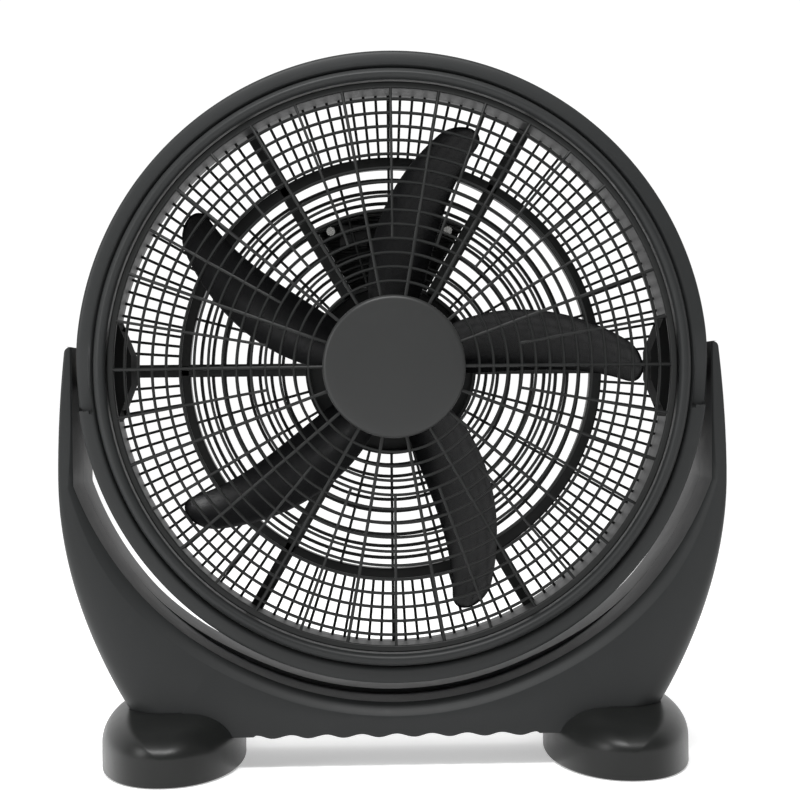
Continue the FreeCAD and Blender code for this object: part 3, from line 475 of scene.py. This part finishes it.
front_y = ring_low.y / MM
throat_r = ring_r - 25.0
rim_r = ring_r - 1.5
rear_low, rear_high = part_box("rear_grille")
rear_guard_r = rear_high.x / MM
flare_r = rear_guard_r + 1.7
duct_line = [
    (rim_r, front_y + 39.0), (rim_r, front_y + 24.0), (rim_r, front_y + 13.6),
    (rim_r - 0.5, front_y + 11.9), (rim_r - 2.2, front_y + 11.0),
    (ring_r - 8.5, front_y + 10.2), (ring_r - 12.4, front_y + 10.3),
    (ring_r - 14.2, front_y + 13.2), (ring_r - 16.4, front_y + 13.4),
    (ring_r - 17.4, front_y + 10.0), (ring_r - 18.6, front_y + 4.6),
    (ring_r - 21.4, front_y + 1.7), (ring_r - 24.4, front_y + 3.2),
    (ring_r - 25.2, front_y + 7.5), (throat_r + 1.5, front_y + 14.0),
    (throat_r + 1.5, front_y + 40.0), (throat_r + 1.5, front_y + 90.0),
    (throat_r + 2.2, front_y + 98.0), (flare_r - 1.0, front_y + 116.0),
    (flare_r, front_y + 120.0), (flare_r, front_y + 136.0)]


def with_recess(radius, y, angle):
    """Ramps the rim band back towards each pivot, with a sharp step at the lower end."""
    height = math.sin(angle) * radius
    if radius < ring_r - 13.0 or y > front_y + 36.0:
        return radius, y
    depth = 8.0 * eased(-height, -34.0, 26.0)
    if height < -36.0:
        depth = 0.0
    return radius, y + depth * eased(radius, ring_r - 13.0, ring_r - 11.0)


step_angle = math.degrees(math.asin(36.0 / (ring_r - 5.0)))
ring_angles = list(np.arange(0.0, 360.0, 0.75))
for at in (-step_angle, 180.0 + step_angle):
    ring_angles += [(at - 0.12) % 360.0, (at + 0.12) % 360.0]
ring_angles = [math.radians(a) for a in sorted(ring_angles)]
mesh_piece("front_ring_skin", *lathe(skin_profile(duct_line, 3.0), ring_angles, with_recess),
           charcoal, "head", "charcoal_plastic", ["duct_ring"], 38.0)

# ---------------------------------------------------------------- Front guard
# Domed guard moulded in one piece: fourteen rings on radial ribs, every second rib starting
# part of the way out, with a plain hoop that snaps into the throat. Rings and ribs repeat.
guard_low, guard_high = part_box("front_grille")
guard_r = guard_high.x / MM
cap_low, cap_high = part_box("hub_cap")
cap_r = cap_high.x / MM
guard_skin = surface("guard_plastic_skin", (0.0120, 0.0126, 0.0124), 0.45, sheen=0.22, grain=0.03,
                     grain_size=0.5)


def group(name, inputs):
    """Empty geometry node tree with named number inputs; returns it, its nodes and inputs."""
    tree = bpy.data.node_groups.new(name, "GeometryNodeTree")
    tree.interface.new_socket("Geometry", in_out="OUTPUT", socket_type="NodeSocketGeometry")
    for label, value in inputs.items():
        kind = "NodeSocketInt" if isinstance(value, int) else "NodeSocketFloat"
        item = tree.interface.new_socket(label, in_out="INPUT", socket_type=kind)
        item.default_value = value
    nodes = Nodes(tree)
    entry = tree.nodes.new("NodeGroupInput")
    return tree, nodes, {label: Value(nodes, entry.outputs[label]) for label in inputs}


def grown(name, tree, nodes, result, inputs, material):
    """Runs a finished geometry node tree with its inputs and keeps the plain mesh it makes."""
    whole = nodes.add("GeometryNodeRealizeInstances", result)
    painted = nodes.add("GeometryNodeSetMaterial", whole, named={"Material": material})
    leave = tree.nodes.new("NodeGroupOutput")
    tree.links.new(painted.socket, leave.inputs[0])
    holder = bpy.data.objects.new(name, bpy.data.meshes.new(name + "_seed"))
    bpy.context.scene.collection.objects.link(holder)
    modifier = holder.modifiers.new("grow", "NODES")
    modifier.node_group = tree
    for item in tree.interface.items_tree:
        if item.in_out == "INPUT":
            modifier[item.identifier] = inputs[item.name]
    graph = bpy.context.evaluated_depsgraph_get()
    graph.update()
    made = bpy.data.meshes.new_from_object(holder.evaluated_get(graph))
    holder.modifiers.remove(modifier)
    holder.data = made
    made.name = name
    return holder


def rounded_bar(nodes, width, depth):
    """Profile curve: a rectangle with cut corners, of a width and a depth."""
    bar = nodes.add("GeometryNodeCurvePrimitiveQuadrilateral", width, depth)
    return nodes.add("GeometryNodeFilletCurve", bar, named={"Radius": width * 0.3})


def dome_rise(radius, edge, rise):
    """Height of the dome above its edge plane at a distance from the axis."""
    ball = (edge * edge + rise * rise) / (rise * 2.0)
    return (ball * ball - radius * radius).maths("SQRT") - ball + rise


def guard_tree(inputs):
    tree, nodes, given = group("guard_pattern", inputs)
    edge, rise = given["Edge Radius"], given["Dome Rise"]
    index = nodes.add("GeometryNodeInputIndex")
    last = given["Rings"] - 1.0
    line = nodes.add("GeometryNodeMeshLine", named={"Count": given["Rings"]})
    radius = given["First Radius"] + index * (given["Last Radius"] - given["First Radius"]) / last
    rim = nodes.add("GeometryNodeCurvePrimitiveCircle", named={"Resolution": 240, "Radius": 1.0})
    lift = nodes.add("ShaderNodeCombineXYZ", 0.0, 0.0, dome_rise(radius, edge, rise))
    placed = nodes.add("GeometryNodeSetPosition", line, named={"Position": lift})
    size = nodes.add("ShaderNodeCombineXYZ", radius, radius, 1.0)
    rings = nodes.add("GeometryNodeInstanceOnPoints", placed,
                      named={"Instance": rim, "Scale": size})
    rings = nodes.add("GeometryNodeRealizeInstances", rings)
    bar = rounded_bar(nodes, given["Ring Width"], given["Depth"])
    rings = nodes.add("GeometryNodeCurveToMesh", rings, bar)
    parts = [rings]
    for label, odd in (("Main", 0.0), ("Short", 0.5)):
        start = given[label + " Start"]
        reach = nodes.add("GeometryNodeCurvePrimitiveLine", named={
            "Start": nodes.add("ShaderNodeCombineXYZ", start, 0.0, 0.0),
            "End": nodes.add("ShaderNodeCombineXYZ", edge, 0.0, 0.0)})
        reach = nodes.add("GeometryNodeResampleCurve", reach, named={"Count": 26})
        at = nodes.add("GeometryNodeInputPosition")
        x = nodes.add("ShaderNodeSeparateXYZ", at)
        bent = nodes.add("ShaderNodeCombineXYZ", x, 0.0, dome_rise(x, edge, rise))
        reach = nodes.add("GeometryNodeSetPosition", reach, named={"Position": bent})
        rib = nodes.add("GeometryNodeCurveToMesh", reach,
                        rounded_bar(nodes, given[label + " Width"], given["Depth"]),
                        named={"Fill Caps": True})
        spots = nodes.add("GeometryNodeMeshLine", named={
            "Count": given["Ribs"], "Offset": (0.0, 0.0, 0.0)})
        turn = (nodes.add("GeometryNodeInputIndex") + odd) * (2 * math.pi) / given["Ribs"]
        spin = nodes.add("ShaderNodeCombineXYZ", 0.0, 0.0, turn)
        parts.append(nodes.add("GeometryNodeInstanceOnPoints", spots,
                               named={"Instance": rib, "Rotation": spin}))
    join = tree.nodes.new("GeometryNodeJoinGeometry")
    for part in reversed(parts):
        tree.links.new(part.socket, join.inputs[0])
    return tree, nodes, Value(nodes, join.outputs[0])


guard_depth = 4.0
edge_r = guard_r - 6.0
hoop_y = guard_high.y / MM - 6.0
guard_inputs = {
    "Rings": 14, "First Radius": 74.3 * MM, "Last Radius": 236.3 * MM, "Ring Width": 2.4 * MM,
    "Ribs": 18, "Main Width": 2.9 * MM, "Short Width": 2.5 * MM, "Main Start": 58.0 * MM,
    "Short Start": 111.0 * MM, "Depth": guard_depth * MM, "Edge Radius": (edge_r + 1.0) * MM,
    "Dome Rise": (hoop_y - guard_low.y / MM) * MM}
guard_piece = grown("front_guard_skin", *guard_tree(guard_inputs), guard_inputs, guard_skin)
to_front = Matrix.Translation((0.0, (hoop_y + guard_depth / 2) * MM, hub_z * MM)) \
    @ Matrix.Rotation(math.pi / 2, 4, "X")
guard_piece.data.transform(to_front)


def add_to(piece, corners, faces):
    """Adds more corners and faces to a piece that is already a mesh."""
    old = piece.data
    kept = [tuple(v.co) for v in old.vertices]
    loops = [tuple(p.vertices) for p in old.polygons]
    all_corners, all_faces = joined([(kept, loops), (corners, faces)])
    mesh = bpy.data.meshes.new(old.name)
    mesh.from_pydata(all_corners, [], all_faces)
    piece.data = mesh


def rounded_outline(r_in, r_out, y_front, y_back, corner):
    """Ring cross-section with rounded corners as (radius, y) in millimetres."""
    points = []
    for cx, cy, start in ((r_out - corner, y_back - corner, 0), (r_in + corner, y_back - corner, 90),
                          (r_in + corner, y_front + corner, 180),
                          (r_out - corner, y_front + corner, 270)):
        for k in range(5):
            a = math.radians(start + 90 * k / 4)
            points.append((cx + corner * math.cos(a), cy + corner * math.sin(a)))
    return points


round_angles = [math.radians(a) for a in np.arange(0.0, 360.0, 1.0)]
hoop = rounded_outline(edge_r, guard_r, hoop_y - 0.5, hoop_y + 6.0, 1.6)
disc_front = guard_low.y / MM
disc = [(0.01, disc_front + 0.2), (30.0, disc_front + 0.6), (cap_r - 2.0, disc_front + 2.0),
        (cap_r - 2.0, disc_front + 6.0), (30.0, disc_front + 4.6), (0.01, disc_front + 4.2)]
add_to(guard_piece, *joined([lathe(hoop, round_angles), lathe(disc, round_angles)]))
declare(guard_piece, guard_skin, "head", ["front_grille"], 45.0)

# ---------------------------------------------------------------- Hub cap
# Shallow crowned cap that snaps onto the guard's middle, smoother and a shade lighter than
# the rest. Its face is left plain.
cap_skin = surface("cap_plastic_skin", (0.0260, 0.0267, 0.0265), 0.38, sheen=0.22, grain=0.012,
                   grain_size=0.4, mottle=0.06)
cap_front, cap_back = cap_low.y / MM, cap_high.y / MM
cap_profile = [(0.01, cap_front)]
for step in range(1, 9):
    reach = (cap_r - 4.0) * step / 8
    cap_profile.append((reach, cap_front + 1.9 * (step / 8) ** 2))
cap_profile += [(cap_r - 2.6, cap_front + 2.2), (cap_r - 1.2, cap_front + 3.0),
                (cap_r - 0.3, cap_front + 4.2), (cap_r, cap_front + 5.6), (cap_r, cap_back),
                (cap_r - 2.5, cap_back), (cap_r - 2.5, cap_front + 4.5), (0.01, cap_front + 3.0)]
mesh_piece("hub_cap_skin", *lathe(cap_profile, round_angles), cap_skin, "head", "cap_plastic",
           ["hub_cap"], 50.0)

# ---------------------------------------------------------------- Blade wheel
# Five swept blades moulded with their hub cup in polished black plastic, pressed on the motor
# shaft and held by the nut. The leading edges are at the back and the tips are rounded.
blade_low, blade_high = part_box("blade_wheel")
tip_r = min(max(blade_high.z / MM - hub_z, hub_z - blade_low.z / MM), 233.0)
blade_mid = (blade_low.y + blade_high.y) / 2 / MM
blade_skin = surface("blade_plastic_skin", (0.0045, 0.0046, 0.0050), 0.24, sheen=0.24, coat=0.04,
                     grain=0.006, grain_size=0.7, mottle=0.05, wear=0.02)
hub_cup_r = 57.0
tip_round_r = 213.0
blade_count = 5
first_blade = 288.5


def blade_edges(radius):
    """Angles of the leading and trailing edge, in degrees from the blade's tip line."""
    if radius < 150.0:
        lead = -1.7 - 4.6 * ((150.0 - radius) / 93.0) ** 2
    else:
        lead = -1.7 - 2.9 * ((radius - 150.0) / 70.0) ** 2
    trail = 33.2 - 0.201 * (radius - 78.0)
    middle, half = (lead + trail) / 2, (trail - lead) / 2
    if radius > tip_round_r:
        half *= max(0.0, 1 - ((radius - tip_round_r) / (tip_r - tip_round_r)) ** 2.6) ** 0.5
    return middle - half, middle + half


def blade_mesh(tip_angle):
    corners, faces = [], []
    radii = list(np.linspace(hub_cup_r - 1.5, tip_round_r, 30))
    radii += [tip_round_r + (tip_r - tip_round_r) * math.sin(math.radians(90 * k / 12))
              for k in range(1, 13)]
    across = 22
    for side in (-1, 1):
        for radius in radii:
            lead, trail = blade_edges(radius)
            share = (radius - hub_cup_r) / (tip_r - hub_cup_r)
            pitch = math.radians(34.0 - 15.0 * share)
            for k in range(across + 1):
                u = 0.5 - 0.5 * math.cos(math.pi * k / across)
                angle = lead + (trail - lead) * u
                chord = math.radians(trail - lead) * radius * math.tan(pitch)
                camber = 0.16 * chord * (1 - (2 * u - 1) ** 2)
                back = chord * (0.5 - u) - camber
                thick = 2.6 * (0.22 + 0.78 * math.sin(math.pi * u) ** 0.5)
                back = blade_mid + back + side * thick / 2
                turn = math.radians(tip_angle + angle)
                corners.append((radius * math.cos(turn) * MM, back * MM,
                                (hub_z + radius * math.sin(turn)) * MM))
    row = across + 1
    half_count = len(radii) * row
    for i in range(len(radii) - 1):
        for k in range(across):
            a, b = i * row + k, (i + 1) * row + k
            faces.append((a, b, b + 1, a + 1))
            faces.append((half_count + a, half_count + a + 1, half_count + b + 1,
                          half_count + b))
    border = [i * row for i in range(len(radii))]
    border += [(len(radii) - 1) * row + k for k in range(1, row)]
    border += [i * row + across for i in range(len(radii) - 2, -1, -1)]
    border += list(range(across - 1, 0, -1))
    for n in range(len(border)):
        a, b = border[n], border[(n + 1) % len(border)]
        faces.append((a, b, half_count + b, half_count + a))
    return corners, faces


cup_front, cup_back = blade_mid - 17.0, blade_mid + 17.0
cup = [(12.0, cup_front + 1.0), (hub_cup_r - 6.0, cup_front + 1.0),
       (hub_cup_r - 2.5, cup_front + 1.8), (hub_cup_r - 0.6, cup_front + 4.0),
       (hub_cup_r, cup_front + 7.0), (hub_cup_r, cup_back),
       (hub_cup_r - 2.6, cup_back), (hub_cup_r - 2.6, cup_front + 6.0),
       (12.0, cup_front + 4.0), (11.0, cup_back - 8.0), (4.3, cup_back - 8.0),
       (4.3, cup_front + 1.0)]
wheel_parts = [lathe(cup, round_angles)]
wheel_parts += [blade_mesh(first_blade + 360.0 / blade_count * n) for n in range(blade_count)]
mesh_piece("blade_wheel_skin", *joined(wheel_parts), blade_skin, "rotor", "blade_plastic",
           ["blade_wheel"], 40.0)

# ---------------------------------------------------------------- Rear guard
# One moulding that also carries the motor: six deep spokes from the hub plate to the outer
# tube, a middle band, nine slim rings inside it and close radial ribs in every bay outside.
# The slim rings and ribs repeat.
spoke_y0, spoke_y1 = rear_low.y / MM, rear_high.y / MM


def rear_tree(inputs):
    tree, nodes, given = group("rear_pattern", inputs)
    line = nodes.add("GeometryNodeMeshLine", named={
        "Count": given["Rings"], "Offset": (0.0, 0.0, 0.0)})
    index = nodes.add("GeometryNodeInputIndex")
    radius = given["Hub Radius"] + (index + 1.0) * (given["Band Radius"] - given["Hub Radius"]) \
        / (given["Rings"] + 1.0)
    rim = nodes.add("GeometryNodeCurvePrimitiveCircle", named={"Resolution": 180, "Radius": 1.0})
    rings = nodes.add("GeometryNodeInstanceOnPoints", line, named={
        "Instance": rim, "Scale": nodes.add("ShaderNodeCombineXYZ", radius, radius, 1.0)})
    rings = nodes.add("GeometryNodeRealizeInstances", rings)
    rings = nodes.add("GeometryNodeCurveToMesh", rings,
                      rounded_bar(nodes, given["Ring Width"], given["Depth"]))
    parts = [rings]

    def rib(start, end, width):
        reach = nodes.add("GeometryNodeCurvePrimitiveLine", named={
            "Start": nodes.add("ShaderNodeCombineXYZ", start, 0.0, 0.0),
            "End": nodes.add("ShaderNodeCombineXYZ", end, 0.0, 0.0)})
        return nodes.add("GeometryNodeCurveToMesh", reach,
                         rounded_bar(nodes, width, given["Depth"]), named={"Fill Caps": True})

    spots = nodes.add("GeometryNodeMeshLine", named={
        "Count": given["Inner Ribs"], "Offset": (0.0, 0.0, 0.0)})
    turn = nodes.add("GeometryNodeInputIndex") * (2 * math.pi) / given["Inner Ribs"]
    parts.append(nodes.add("GeometryNodeInstanceOnPoints", spots, named={
        "Instance": rib(given["Hub Radius"], given["Band Radius"], given["Rib Width"]),
        "Rotation": nodes.add("ShaderNodeCombineXYZ", 0.0, 0.0, turn)}))
    spots = nodes.add("GeometryNodeMeshLine", named={
        "Count": given["Bays"] * given["Bay Ribs"], "Offset": (0.0, 0.0, 0.0)})
    index = nodes.add("GeometryNodeInputIndex")
    bay = (index / given["Bay Ribs"]).maths("FLOOR")
    place = index - bay * given["Bay Ribs"] - (given["Bay Ribs"] - 1.0) / 2.0
    turn = (bay + 0.5) * (2 * math.pi) / given["Bays"] + place * given["Rib Pitch"]
    parts.append(nodes.add("GeometryNodeInstanceOnPoints", spots, named={
        "Instance": rib(given["Band Outer"], given["Tube Radius"], given["Rib Width"]),
        "Rotation": nodes.add("ShaderNodeCombineXYZ", 0.0, 0.0, turn)}))
    join = tree.nodes.new("GeometryNodeJoinGeometry")
    for part in reversed(parts):
        tree.links.new(part.socket, join.inputs[0])
    return tree, nodes, Value(nodes, join.outputs[0])


rear_inputs = {
    "Rings": 9, "Hub Radius": 80.0 * MM, "Band Radius": 190.5 * MM, "Ring Width": 2.8 * MM,
    "Depth": 8.0 * MM, "Inner Ribs": 24, "Rib Width": 2.5 * MM, "Bays": 6, "Bay Ribs": 21,
    "Rib Pitch": math.radians(2.6), "Band Outer": 199.5 * MM,
    "Tube Radius": (rear_guard_r - 3.0) * MM}
rear_piece = grown("rear_guard_skin", *rear_tree(rear_inputs), rear_inputs, guard_skin)
rear_piece.data.transform(Matrix.Translation((0.0, (spoke_y0 + 6.0) * MM, hub_z * MM))
                          @ Matrix.Rotation(math.pi / 2, 4, "X"))


def bar_mesh(angle, r_in, r_out, width, y_front, y_back, corner):
    """Rounded bar that reaches outwards from the fan axis."""
    outline = []
    for cx, cy, start in ((width / 2 - corner, y_back - corner, 0),
                          (corner - width / 2, y_back - corner, 90),
                          (corner - width / 2, y_front + corner, 180),
                          (width / 2 - corner, y_front + corner, 270)):
        for k in range(5):
            a = math.radians(start + 90 * k / 4)
            outline.append((cx + corner * math.cos(a), cy + corner * math.sin(a)))
    turn = math.radians(angle)
    corners = []
    for radius in (r_in, r_out):
        for side, y in outline:
            corners.append(((radius * math.cos(turn) - side * math.sin(turn)) * MM, y * MM,
                            (hub_z + radius * math.sin(turn) + side * math.cos(turn)) * MM))
    count = len(outline)
    faces = [(k, (k + 1) % count, count + (k + 1) % count, count + k) for k in range(count)]
    faces += [tuple(reversed(range(count))), tuple(range(count, 2 * count))]
    return corners, faces


rear_parts = [bar_mesh(60.0 * n, 78.0, rear_guard_r - 2.0, 12.0, spoke_y0, spoke_y1, 1.5)
              for n in range(6)]
rear_parts.append(lathe(rounded_outline(189.5, 200.5, spoke_y0, spoke_y1, 1.5), round_angles))
rear_parts.append(lathe(rounded_outline(rear_guard_r - 4.0, rear_guard_r, spoke_y0, spoke_y1, 1.2),
                        round_angles))
plate = [(9.5, spoke_y1 - 2.5), (77.0, spoke_y1 - 2.5), (77.0, spoke_y0 + 0.8),
         (77.8, spoke_y0), (80.2, spoke_y0), (81.0, spoke_y0 + 0.8), (81.0, spoke_y1),
         (9.5, spoke_y1)]
rear_parts.append(lathe(plate, round_angles))
add_to(rear_piece, *joined(rear_parts))
declare(rear_piece, guard_skin, "head", ["rear_grille"], 45.0)

# ---------------------------------------------------------------- Fittings kept from the model
# The small parts keep their imported shapes: steel screws and bolts, the motor, bearings, the
# control box with its knob, the trim ring and washers. Each gets the finish of its real stuff,
# but the pivot housings are coloured darker as painted shade.
steel = surface("plated_steel_skin", (0.62, 0.62, 0.60), 0.26, metallic=1.0, grain=0.01,
                grain_size=0.3, lines=0.010, line_pitch=0.35, line_axis=1)
black_steel = surface("black_steel_skin", (0.028, 0.028, 0.030), 0.38, coat=0.15, grain=0.01,
                      grain_size=0.3)
motor_paint = surface("motor_case_skin", (0.30, 0.31, 0.32), 0.42, metallic=0.4, coat=0.2,
                      grain=0.03, grain_size=0.9)
lamination = surface("core_steel_skin", (0.36, 0.36, 0.38), 0.45, metallic=0.9, grain=0.02,
                     grain_size=0.3, lines=0.05, line_pitch=0.6, line_axis=1)
copper = surface("winding_copper_skin", (0.62, 0.26, 0.11), 0.30, metallic=0.8, coat=0.5,
                 grain=0.02, grain_size=0.4, lines=0.12, line_pitch=0.9, line_axis=1)
rotor_metal = surface("rotor_metal_skin", (0.52, 0.52, 0.54), 0.36, metallic=0.95, grain=0.03,
                      grain_size=0.5)
nylon = surface("nylon_skin", (0.68, 0.67, 0.62), 0.44, grain=0.015, grain_size=0.5)
moulded_black = surface("part_black_skin", (0.014, 0.014, 0.015), 0.30, coat=0.1, grain=0.012,
                        grain_size=0.4)
moulded_white = surface("part_white_skin", (0.74, 0.73, 0.69), 0.40, grain=0.015,
                        grain_size=0.5)
ribbed_box = surface("control_box_skin", (0.0180, 0.0190, 0.0188), 0.48, sheen=0.3, grain=0.04,
                     grain_size=0.5, lines=0.22, line_pitch=3.4)
# Painted shade: the pivot housings are coloured darker and duller than the stand's plastic to stand
# in for the shade between arm and ring.
housing_painted_shade = surface("pivot_housing_painted_shade", (0.0085, 0.0088, 0.0088), 0.70, sheen=0.08,
                       grain=0.05, grain_size=0.6)
finishes = {
    "plated_steel": steel, "black_steel": black_steel, "motor_case": motor_paint,
    "core_steel": lamination, "winding_copper": copper, "rotor_metal": rotor_metal,
    "soft_rubber": rubber, "washer_nylon": nylon, "part_black": moulded_black,
    "part_white": moulded_white, "charcoal_plastic": charcoal, "cap_plastic": cap_skin,
    "blade_plastic": blade_skin}
slot_of = {part["node"]: part["material_slot"] for part in frame["record"]["subparts"]}
special = {"control_box": ribbed_box, "left_pivot_housing": housing_painted_shade,
           "right_pivot_housing": housing_painted_shade, "rear_trim_ring": guard_skin}
for node_name, node in nodes_by_name.items():
    finish = special.get(node_name, finishes[slot_of[node_name]])
    if not node.data.materials:
        node.data.materials.append(finish)
    for index in range(len(node.data.materials)):
        node.data.materials[index] = finish

# ---------------------------------------------------------------- Floor, light and camera
# A plain pale floor in a soft white studio: a broad light over the front and a weaker one on
# the left, with a bright surround behind the fan and a dimmer one behind the camera.
floor_mesh = bpy.data.meshes.new("floor")
reach = 80.0
floor_mesh.from_pydata([(-reach, -reach, 0), (reach, -reach, 0), (reach, reach, 0),
                        (-reach, reach, 0)], [], [(0, 1, 2, 3)])
floor = bpy.data.objects.new("floor", floor_mesh)
bpy.context.scene.collection.objects.link(floor)
floor_paint = bpy.data.materials.new("floor_paint")
floor_paint.use_nodes = True
floor_shader = floor_paint.node_tree.nodes["Principled BSDF"]
floor_shader.inputs["Base Color"].default_value = (0.93, 0.93, 0.93, 1.0)
floor_shader.inputs["Roughness"].default_value = 0.85
floor_shader.inputs["Specular IOR Level"].default_value = 0.1
floor_shader.inputs["Emission Color"].default_value = (1.0, 1.0, 1.0, 1.0)
floor_shader.inputs["Emission Strength"].default_value = 0.42
floor_mesh.materials.append(floor_paint)

world = bpy.data.worlds.new("studio")
world.use_nodes = True
bpy.context.scene.world = world
sky = Nodes(world.node_tree)
aim = sky.add("ShaderNodeTexCoord", out="Generated")
split = world.node_tree.nodes.new("ShaderNodeSeparateXYZ")
world.node_tree.links.new(aim.socket, split.inputs[0])
behind = Value(sky, split.outputs["Y"])
above = Value(sky, split.outputs["Z"])
glow = (0.20 + (behind * 3.0 + 0.2).clamp(0.0, 1.0) * 0.84 + above.clamp(0.0, 1.0) * 0.10)
background = world.node_tree.nodes["Background"]
shade = sky.add("ShaderNodeCombineColor", glow, glow, glow)
world.node_tree.links.new(shade.socket, background.inputs["Color"])
background.inputs["Strength"].default_value = 1.0


def panel(name, place, target, width, height, power):
    """Soft rectangular lamp aimed at a point."""
    lamp = bpy.data.lights.new(name, "AREA")
    lamp.shape = "RECTANGLE"
    lamp.size, lamp.size_y = width, height
    lamp.energy = power
    holder = bpy.data.objects.new(name, lamp)
    bpy.context.scene.collection.objects.link(holder)
    holder.location = place
    holder.rotation_mode = "QUATERNION"
    holder.rotation_quaternion = (Vector(target) - Vector(place)).to_track_quat("-Z", "Y")


panel("key_light", (-0.2, -1.15, 2.05), (0.0, 0.0, 0.35), 1.2, 0.45, 42.0)
panel("left_light", (-1.6, -1.0, 0.9), (0.0, 0.0, 0.3), 0.5, 1.2, 14.0)

camera_data = bpy.data.cameras.new("camera")
camera = bpy.data.objects.new("camera", camera_data)
bpy.context.scene.collection.objects.link(camera)
camera_data.sensor_width = 36.0
camera_data.lens = 76.9
camera.location = (-0.033, -1.580, 0.3337)
camera.rotation_mode = "QUATERNION"
camera.rotation_quaternion = (
    Matrix.Rotation(math.radians(-1.466), 4, "Z")
    @ Matrix.Rotation(math.radians(90.0 - 0.189), 4, "X")
    @ Matrix.Rotation(math.radians(-0.608), 4, "Z")).to_quaternion()
camera_data.clip_start, camera_data.clip_end = 0.05, 200.0
bpy.context.scene.camera = camera
bpy.context.scene.view_settings.view_transform = "Standard"
